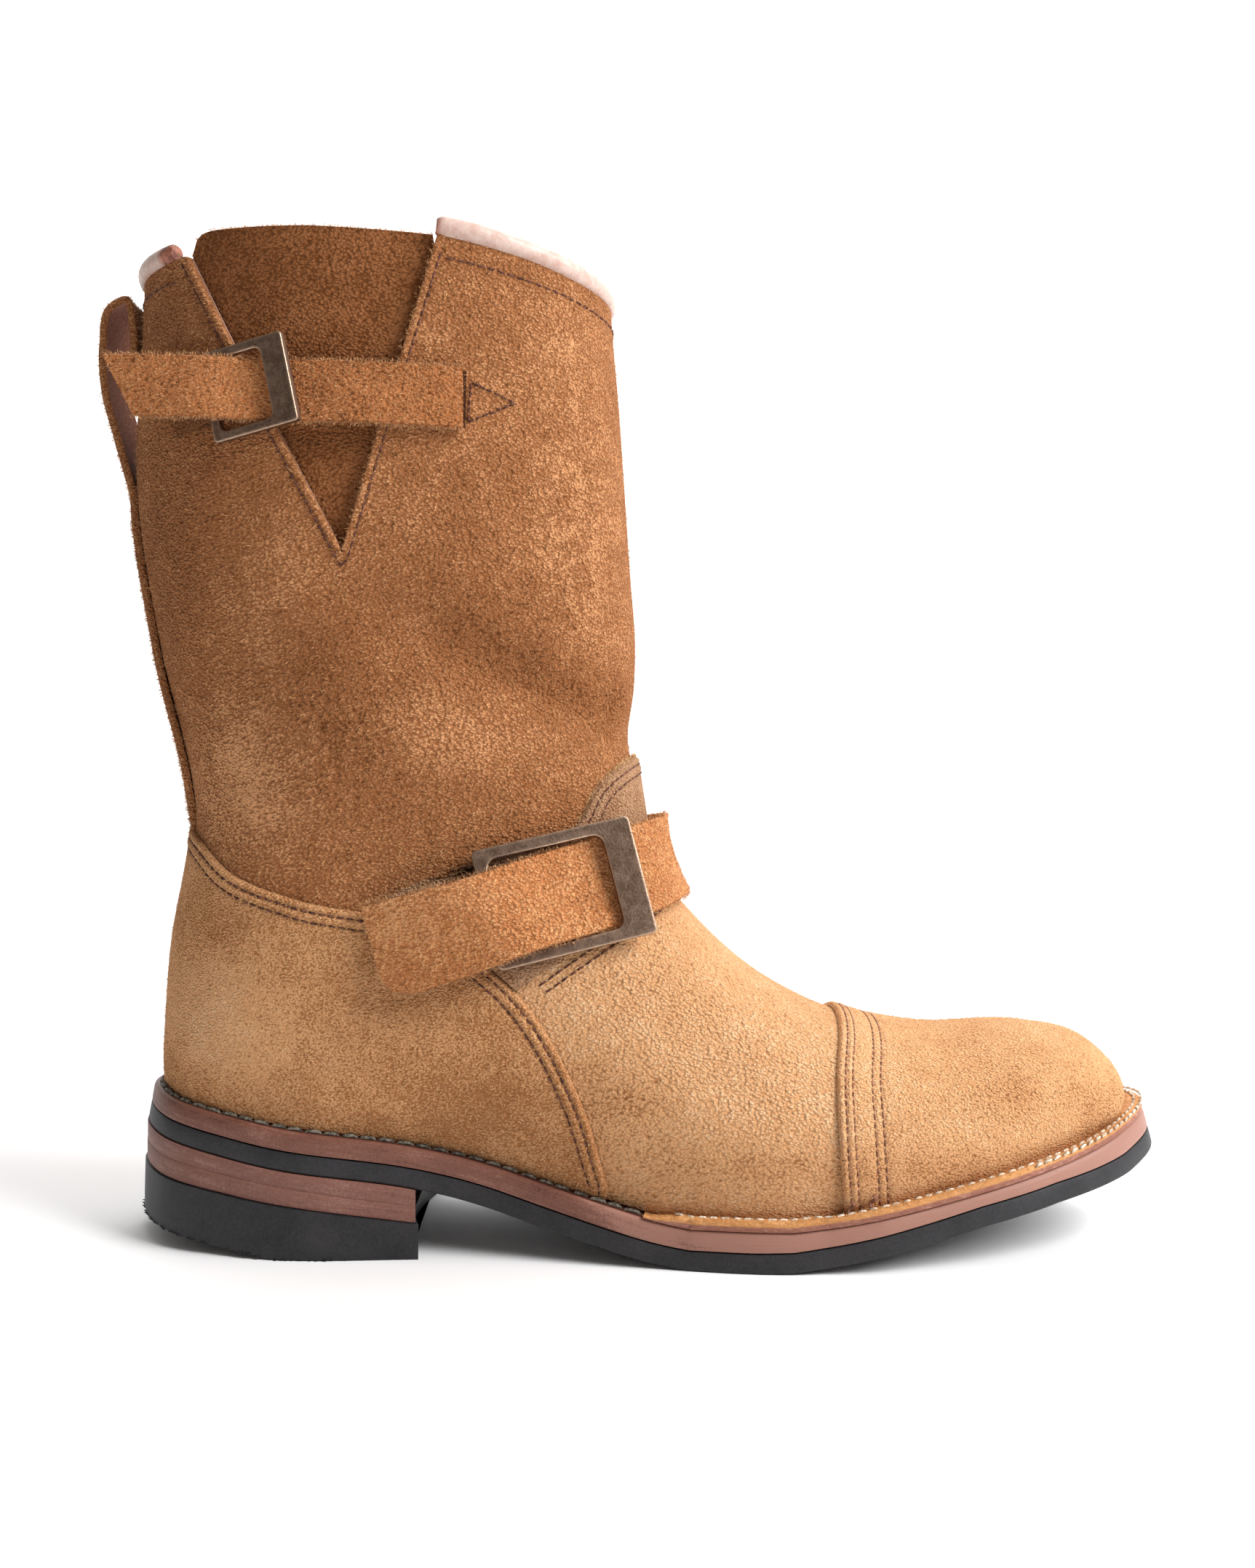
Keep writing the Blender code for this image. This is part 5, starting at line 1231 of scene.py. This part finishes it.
cap_thread = thread("cap_thread", (0.120, 0.045, 0.025), (0.330, 0.155, 0.090), 0.75)
add_piece("toe_cap_seams", *joined(cap_seams), cap_thread, "foot_suede")

# Instep strap: a band of the shaft's leather over the instep, cut with raw edges and a rounded lower corner.
# It lies on the tongue, is drawn through the brass frame, and its free end runs on over the quarter.
INSTEP_WIDTH = 26.4
INSTEP_FLARE = 1.8
INSTEP_SLOPE = math.radians(16)
INSTEP_CROSSING = np.array([155.0, 0, 110.5])
INSTEP_END = 104.5
INSTEP_END_ROUND = 9.0
INSTEP_FREE = 80.0
INSTEP_CORNER = np.array([70.6, 0, 99.0])
# Distance from the ridge along the strap, positive on the outer side, and how far each edge stands off.
RIDE_ALONG = [-74, -30, 0, 16, 31, 43, 70, 84, 109]
RIDE_LOW = [2.3, 2.3, 2.2, 2.4, 2.5, 2.5, 10.7, 8.6, 2.6]
RIDE_HIGH = [2.3, 2.6, 6.0, 4.0, 2.5, 2.5, 10.7, 8.6, 2.6]
INSTEP_BACK_BAR = 71.0


def instep_lane(shift, along):
    """Points and outward directions on the upper along the instep strap, shift above its middle."""
    square = np.array([-math.sin(INSTEP_SLOPE), 0, math.cos(INSTEP_SLOPE)])
    places = np.linspace(-0.92, 0.92, 301)
    rows = np.linspace(5, CALF, 361)
    over = last_surface(rows[:, None], places[None, :]) @ square - square @ INSTEP_CROSSING - shift
    crossing = first_change(over, rows)
    run = chords(last_surface(crossing, places))
    run = run[len(places) // 2] - run
    order = np.argsort(run)
    picked = [np.interp(along, run[order], column[order]) for column in (crossing, places)]
    return last_surface(*picked), surface_normal(*picked)


def strap_marks(points, shade):
    """Even, coarse nap of the straps."""
    count = points.size // 3
    return {"shade": np.full(count, shade), "coarse": np.full(count, 0.6)}


start, end = RIDE_ALONG[0], INSTEP_END
tip = end - INSTEP_END_ROUND
along = np.concatenate([np.linspace(start, tip, 150), np.linspace(tip, end, 22)[1:]])
low, high = (smooth(RIDE_ALONG, column, along) for column in (RIDE_LOW, RIDE_HIGH))
turn = np.arccos(np.clip((along - tip) / INSTEP_END_ROUND, 0, 1))
flare = np.interp(along, [INSTEP_BACK_BAR, end], [0, INSTEP_FLARE])
lower_edge = (1 - np.sin(turn)) * INSTEP_END_ROUND - flare
lanes = np.linspace(-INSTEP_WIDTH / 2 - INSTEP_FLARE, INSTEP_WIDTH / 2, 9)
inner, outward = [], []
free = along > INSTEP_FREE
free_share = ((along[free] - INSTEP_FREE) / (end - INSTEP_FREE))[:, None]
slope = np.array([-math.cos(INSTEP_SLOPE), 0, -math.sin(INSTEP_SLOPE)])
free_way = np.diff(instep_lane(0, [INSTEP_FREE, end])[0], axis=0)[0]
for shift in lanes:
    line, normal = instep_lane(shift, along)
    (leave,), (leave_out,) = instep_lane(shift, [INSTEP_FREE])
    line[free] = leave + free_way * ((INSTEP_CORNER - leave) @ slope / (free_way @ slope)) * free_share
    normal[free] = leave_out
    inner.append(line + normal * (low + (high - low) * (shift / INSTEP_WIDTH + 0.5))[:, None])
    outward.append(normal)
shares = np.linspace(0, 1, 19)
kept = (shares - 0.5) * INSTEP_WIDTH + (1 - shares) * lower_edge[:, None]
fitted = []
for grid in (np.stack(inner, axis=1), np.stack(outward, axis=1)):
    picked = [[np.interp(at, lanes, column) for column in place.T] for at, place in zip(kept, grid)]
    fitted.append(np.array(picked).transpose(0, 2, 1))
inner, outward = fitted
points, faces = band(inner, outward, STRAP)
marks = strap_marks(points, 0.12)
add_piece("instep_band", points, faces, strap_suede, "shaft_suede", ["instep_strap"], marks)
instep_grid = inner + outward * STRAP, outward

# Shaft strap: a narrower band of the same leather across the split, cut slanting at its free end behind.
# In front it goes into a slit of the shaft, where the stitched triangle holds it.
SHAFT_WIDTH = 16.8
SHAFT_FRONT = [(98.8, -40.9), (90, -42.8), (78, -44.5), (66, -45.0), (54, -44.3), (46, -43.7)]
SHAFT_BACK = [(38, -44.4), (30, -46.0), (15, -45.2), (0, -43.9)]
SHAFT_LEVELS = (245.0, 242.0)
SHAFT_END_CUT = 8.5
SHAFT_END_RUN = 25
SLIT_LOW, SLIT_HIGH = 234.0, 250.0
SLIT_EDGES = 98.6, 99.6
line = even_path(SHAFT_FRONT + SHAFT_BACK, 130)
along = np.gradient(line, axis=0)
out = unit(np.column_stack([-along[:, 1], along[:, 0]]))
lanes = np.linspace(-SHAFT_WIDTH / 2, SHAFT_WIDTH / 2, 13)
near_end = np.interp(line[:, 0], [0, SHAFT_END_RUN], [1, 0])[:, None]
inner = np.zeros((len(line), len(lanes), 3))
inner[..., 0] = line[:, :1] + near_end * (lanes[::-1] / SHAFT_WIDTH + 0.5) * SHAFT_END_CUT
inner[..., 1] = line[:, 1:]
inner[..., 2] = np.interp(line[:, 0], [0, SHAFT_FRONT[0][0]], SHAFT_LEVELS)[:, None] + lanes
outward = np.zeros_like(inner)
outward[..., :2] = out[:, None, :]
points, faces = band(inner, outward, STRAP)
marks = strap_marks(points, -0.10)
add_piece("shaft_band", points, faces, strap_suede, "shaft_suede", ["shaft_strap"], marks)
shaft_grid = inner + outward * STRAP, outward
# The slit is a dark sheet painted as the shadow inside it, just behind the strap's front end.
slit_shadow_paint, tree, shader = new_finish("slit_shadow", 0.9, 0.1)
paint(tree, shader, grain(tree, 900, 3), [(0.3, (0.020, 0.008, 0.004)), (0.7, (0.070, 0.026, 0.013))])
near, far = (side_seam([(x, SLIT_LOW), (x + 0.3, SLIT_HIGH)], 24, 0.12)[0] for x in SLIT_EDGES)
add_piece("strap_slit", np.stack([near, far]), grid_faces(2, 24), slit_shadow_paint, "shaft_suede")

# Buckles: flat cast frames of antiqued brass with one wide bar, dark in the hollows and rubbed bright at the
# edges. Each hangs on a fold of shaft leather, and the band passes over its back bar and under its wide bar.
FRAME_HALF = 2.6 / 2
# Inset, level and wear of the rings that round off the frame's outer and inner edges.
OUTER_EDGE = [(0.5, -FRAME_HALF, 0.1), (0, 0.4 - FRAME_HALF, 0.4), (0, FRAME_HALF - 0.35, 0.7)]
OUTER_EDGE += [(0.1, FRAME_HALF - 0.1, 1.0), (0.35, FRAME_HALF, 0.5), (0.8, FRAME_HALF, 0)]
INNER_EDGE = [(0.8, FRAME_HALF, 0), (0.35, FRAME_HALF, 0.5), (0.1, FRAME_HALF - 0.1, 1.0)]
INNER_EDGE += [(0, FRAME_HALF - 0.35, 0.6), (0, 0.4 - FRAME_HALF, 0.3), (0.5, -FRAME_HALF, 0.1)]
brass, tree, shader = new_finish("antique_brass", 0.4, 0.5)
shader.inputs["Metallic"].default_value = 1.0
tarnish = weigh(tree, (grain(tree, 260, 4), 0.5), (grain(tree, 1700, 3), 0.35), (mark_of(tree, "wear"), 0.34))
colours = [(0.3, (0.14, 0.088, 0.060)), (0.6, (0.32, 0.215, 0.155)), (0.9, (0.56, 0.42, 0.29))]
paint(tree, shader, tarnish, colours)
relief(tree, shader, grain(tree, 1500, 3), 0.0002, 0.5)


def rounded_box(left, right, height, corner, arc=9):
    """Outline of a rectangle with round corners."""
    turn = np.linspace(0, math.pi / 2, arc)
    x, y = corner * np.cos(turn), corner * np.sin(turn)
    far, near, top = right - corner, left + corner, height / 2 - corner
    quarters = [(far + x, top + y), (near - y, top + x), (near - x, -top - y), (far + y, -top - x)]
    return np.concatenate([np.column_stack(quarter) for quarter in quarters])


def cast_frame(name, node, length, height, wide_bar, bar, corner, front_bar, back_bar, out, turn):
    """A frame with its wide bar at front_bar, its other end bar at back_bar and its face turned outward."""
    along = unit(np.subtract(front_bar, back_bar))
    out = unit(out - along * (out @ along))
    side = np.cross(out, along)
    along, across = (
        along * math.cos(turn) + side * math.sin(turn),
        side * math.cos(turn) - along * math.sin(turn),
    )
    span = length - (wide_bar + bar) / 2
    centre = np.add(front_bar, back_bar) / 2 + along * (span / 2 + wide_bar / 2 - length / 2)
    left, right = -length / 2, length / 2
    rings, wear = [], []
    for inset, level, rubbed in OUTER_EDGE:
        ring = rounded_box(left + inset, right - inset, height - 2 * inset, max(corner - inset, 0.3))
        rings.append(np.column_stack([ring, np.full(len(ring), level)]))
        wear.append(np.full(len(ring), rubbed))
    for inset, level, rubbed in INNER_EDGE:
        window = height - 2 * bar + 2 * inset
        ring = rounded_box(left + bar - inset, right - wide_bar + inset, window, 2 * corner + inset)
        rings.append(np.column_stack([ring, np.full(len(ring), level)]))
        wear.append(np.full(len(ring), rubbed))
    shape = np.stack(rings + rings[:1])
    points = centre + shape @ np.stack([along, across, out])
    wear = np.concatenate(wear + wear[:1]) + 0.12 * np.sin(points.reshape(-1, 3)[:, 2] * 0.9)
    faces = grid_faces(*shape.shape[:2], closed=True)
    add_piece(name, points, faces, brass, "antique_brass", [node], {"wear": wear})


# Length, height, wide bar, other bars and corner of each frame, then the way it faces and its turn.
INSTEP_FRAME = 46.0, 34.4, 8.6, 3.5, 1.6
INSTEP_FACE, INSTEP_TURN = np.array([0.24, -0.94, 0.255]), math.radians(-5.5)
INSTEP_FRONT_BAR, INSTEP_FRONT_LIFT, INSTEP_BACK_LIFT = 31.0, 9.5, 6.7
(front, back), (front_out, back_out) = instep_lane(0, [INSTEP_FRONT_BAR, INSTEP_BACK_BAR])
instep_bars = front + front_out * INSTEP_FRONT_LIFT, back + back_out * INSTEP_BACK_LIFT
cast_frame("instep_frame", "instep_buckle", *INSTEP_FRAME, *instep_bars, INSTEP_FACE, INSTEP_TURN)
SHAFT_FRAME = 26.5, 25.0, 7.2, 2.6, 1.0
SHAFT_FACE, SHAFT_TURN = np.array([0.0, -1.0, 0.0]), 0.0
SHAFT_BARS = (49.7, -48.7, 245.9), (29.1, -42.1, 241.7)
cast_frame("shaft_frame", "shaft_buckle", *SHAFT_FRAME, *SHAFT_BARS, SHAFT_FACE, SHAFT_TURN)
SHADED = 0.6
CHAPE_BROWN = [(place, tuple(SHADED * part for part in colour)) for place, colour in SHAFT_BROWN]
chape_suede = roughout("chape_roughout", CHAPE_BROWN)
for node in ("instep_chape", "shaft_chape"):
    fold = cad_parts[node]
    fold.data.materials.clear()
    fold.data.materials.append(chape_suede)

# Loose nap: fibres of the leather itself that stand up from the roughout, because its flesh side is out.
# They are longest on the shaft and the pull loop, shorter along the cut edges and shortest on the foot.
nap_rng = np.random.default_rng(77)
# Length, lean and width of the fibres of each place.
SHAFT_FIBRE, LONG_FIBRE = (1.0, 0.85, 0.13), (2.2, 1.25, 0.13)
VAMP_FIBRE, PANEL_FIBRE = (0.75, 1.2, 0.11), (0.7, 1.2, 0.11)
STRAP_FIBRE, LOOP_FIBRE = (1.0, 1.1, 0.13), (1.7, 0.6, 0.13)
SPLIT_FIBRE, CUT_FIBRE, TONGUE_FIBRE = (0.8, 1.2, 0.11), (0.95, 0.8, 0.12), (1.0, 0.8, 0.12)
GUSSET_FIBRE, WELT_FIBRE = (0.9, 0.9, 0.12), (0.6, 1.3, 0.12)
SHAFT_COUNTS = (16000, 52000)
PANEL_COUNTS = (12000, 12000, 14000, 5000)
STRAP_COUNTS = (7000, 4000, 6000)
LOOP_COUNT = 3500
TONGUE_FRONT = 128.0


def fibres(name, dark, pale):
    """Finish of loose leather fibres."""
    finish, tree, shader = new_finish(name, 0.9, 0.1)
    shader.inputs["Sheen Weight"].default_value = 0.3
    paint(tree, shader, grain(tree, 700, 2), [(0.3, dark), (0.7, pale)])
    return finish


loose_fibre = fibres("loose_fibre", (0.30, 0.12, 0.04), (0.72, 0.40, 0.18))
gold_fibre = fibres("gold_fibre", (0.42, 0.21, 0.07), (0.82, 0.54, 0.27))


def standing(at, up, length, lean, width):
    """Thin bent slivers, each standing on a point and leaning over. Gives points and faces."""
    count = len(at)
    side = unit(np.cross(up, nap_rng.normal(size=(count, 3))))
    along = np.cross(side, up)
    reach = (length * nap_rng.uniform(0.45, 1.35, count))[:, None]
    tilt = (lean * nap_rng.uniform(0.6, 1.25, count))[:, None]
    middle = at + (up * np.cos(tilt * 0.6) + along * np.sin(tilt * 0.6)) * reach * 0.55
    tip = at + (up * np.cos(tilt) + along * np.sin(tilt)) * reach
    half = side * width / 2
    root = at - up * 0.12
    points = np.stack([root - half, root + half, middle - half * 0.8, middle + half * 0.8, tip], axis=1)
    start = (np.arange(count) * 5)[:, None]
    return points.reshape(-1, 3), (start + [0, 1, 3, 2]).tolist() + (start + [2, 3, 4]).tolist()


def nap_over(grid, count, fibre, keep=None):
    """Fibres spread evenly over a grid of points, or over the part of it that keep picks."""
    points, normals = grid
    across = np.linalg.norm(np.diff(points, axis=1)[:-1], axis=2)
    down = np.linalg.norm(np.diff(points, axis=0)[:, :-1], axis=2)
    chance = (across * down).ravel()
    cell = nap_rng.choice(len(chance), count, p=chance / chance.sum())
    row, column = np.divmod(cell, points.shape[1] - 1)
    s, t = nap_rng.random((2, count, 1))
    at, up = (
        (each[row, column] * (1 - s) + each[row, column + 1] * s) * (1 - t)
        + (each[row + 1, column] * (1 - s) + each[row + 1, column + 1] * s) * t
        for each in (points, normals)
    )
    kept = keep(at) if keep else slice(None)
    return standing(at[kept], up[kept], *fibre)


def fringe(line, up, each, spread, fibre):
    """Fibres along an edge, a number at each point of its line, standing along up."""
    at = np.repeat(line, each, axis=0) + nap_rng.normal(0, spread, (len(line) * each, 3))
    return standing(at, np.repeat(up, each, axis=0), *fibre)


def on_shaft(spots):
    """Which points lie above the line between vamp and shaft."""
    return spots[:, 2] > np.interp(spots[:, 0], VAMP_X, VAMP_Z)


def on_vamp(spots):
    """Which points lie below that line."""
    return ~on_shaft(spots)


shaft_hairs, foot_hairs, strap_hairs = [], [], []
for grid, count in zip(grids, SHAFT_COUNTS):
    shaft_hairs.append(nap_over(grid, count, SHAFT_FIBRE, on_shaft))
    shaft_hairs.append(nap_over(grid, count // 9, LONG_FIBRE, on_shaft))
    foot_hairs.append(nap_over(grid, count // 2, VAMP_FIBRE, on_vamp))
for grid, count in zip((*quarter_grids, cap_grid, tongue_grid), PANEL_COUNTS):
    foot_hairs.append(nap_over(grid, count, PANEL_FIBRE))
for grid, count in zip((instep_grid, shaft_grid, pull_grid), STRAP_COUNTS):
    strap_hairs.append(nap_over(grid, count, STRAP_FIBRE))
strap_hairs.append(nap_over(pull_grid, LOOP_COUNT, LOOP_FIBRE))
for line, normal in edge_lines:
    strap_hairs.append(fringe(line, normal, 7, 0.35, SPLIT_FIBRE))
for points, normals in (instep_grid, shaft_grid, pull_grid):
    for lane, inward in ((0, 1), (-1, -2)):
        line = points[:, lane] - normals[:, lane] * 0.8
        out = unit(points[:, lane] - points[:, inward])
        strap_hairs.append(fringe(line, out, 12, 0.4, CUT_FIBRE))
line, normal = tongue_grid[0][:, 0], tongue_grid[1][:, 0]
kept = line[:, 0] > TONGUE_FRONT
foot_hairs.append(fringe(line[kept], (normal[kept] + [0, 0, 1.2]) / 1.6, 14, 0.35, TONGUE_FIBRE))
upright = np.tile([0.0, 0.0, 1.0], (len(gusset_brim), 1))
strap_hairs.append(fringe(gusset_brim, upright, 26, [0.8, 0.5, 0.15], GUSSET_FIBRE))
foot_hairs.append(fringe(welt_rim[0], unit(welt_rim[1]), 5, 0.4, WELT_FIBRE))
add_piece("shaft_nap", *joined(shaft_hairs), loose_fibre, "shaft_suede")
add_piece("strap_nap", *joined(strap_hairs), loose_fibre, "shaft_suede")
add_piece("foot_nap", *joined(foot_hairs), gold_fibre, "foot_suede")

# Studio: a white floor before a lit white backdrop, both of plain matt paint.
# A large soft light stands at the right in front, and a weaker one hangs overhead behind the boot.
STUDIO_WIDE, FLOOR_FRONT, FLOOR_BACK, BACKDROP_HIGH = 3.0, -2.5, 1.4, 3.0
floor_paint, tree, shader = new_finish("floor_paint", 0.9, 0.1)
shader.inputs["Base Color"].default_value = (0.88, 0.88, 0.885, 1)
backdrop_paint, tree, shader = new_finish("backdrop_paint", 0.9, 0.1)
shader.inputs["Base Color"].default_value = (0.9, 0.9, 0.9, 1)
shader.inputs["Emission Color"].default_value = (1.0, 1.0, 1.0, 1)
shader.inputs["Emission Strength"].default_value = 0.9
near_edge, far_edge, top_edge = (
    [(-STUDIO_WIDE, y, z), (STUDIO_WIDE, y, z)]
    for y, z in ((FLOOR_FRONT, 0), (FLOOR_BACK, 0), (FLOOR_BACK, BACKDROP_HIGH))
)
sheets = [
    ("floor", near_edge + far_edge[::-1], floor_paint),
    ("backdrop", far_edge + top_edge[::-1], backdrop_paint),
]
for name, corners, finish in sheets:
    mesh = bpy.data.meshes.new(name)
    mesh.from_pydata(corners, [], [[0, 1, 2, 3]])
    mesh.materials.append(finish)
    sheet = bpy.data.objects.new(name, mesh)
    bpy.context.scene.collection.objects.link(sheet)


def softbox(name, place, aim, size, power):
    """A square area light at a place, turned to a point."""
    lamp = bpy.data.lights.new(name, "AREA")
    lamp.size = size
    lamp.energy = power
    box = bpy.data.objects.new(name, lamp)
    box.location = place
    x, y, z = np.subtract(place, aim)
    box.rotation_euler = (math.acos(z / np.linalg.norm([x, y, z])), 0, math.atan2(x, -y))
    bpy.context.scene.collection.objects.link(box)


softbox("key", (1.36, -0.64, 1.2), (0, 0, 0.12), 1.0, 55)
softbox("overhead", (0.2, 0.45, 1.7), (0, 0.2, 0), 1.6, 17)
world = bpy.data.worlds.new("studio")
world.use_nodes = True
world.node_tree.nodes["Background"].inputs["Color"].default_value = (1.0, 0.96, 0.91, 1)
world.node_tree.nodes["Background"].inputs["Strength"].default_value = 0.22
bpy.context.scene.world = world
bpy.context.scene.view_settings.view_transform = "Standard"

# Camera: a level view of the outer side from about half a metre, at half the boot's height.
# The lens is shifted instead of tilted, so that upright edges stay upright.
PICTURE_HEIGHT = 2156
FOCAL_LENGTH, LENS_SHIFT = 2160 / PICTURE_HEIGHT, -62 / PICTURE_HEIGHT
SENSOR = 36.0
CAMERA_PLACE = np.array([145.0, -480.0, 147.0])
lens = bpy.data.cameras.new("camera")
lens.sensor_fit = "VERTICAL"
lens.sensor_height = SENSOR
lens.lens = FOCAL_LENGTH * SENSOR
lens.shift_y = LENS_SHIFT
lens.clip_start = 0.01
camera = bpy.data.objects.new("camera", lens)
camera.location = (CAMERA_PLACE - DRAWN_ORIGIN) * MM
camera.rotation_euler = (math.pi / 2, 0, 0)
bpy.context.scene.collection.objects.link(camera)
bpy.context.scene.camera = camera
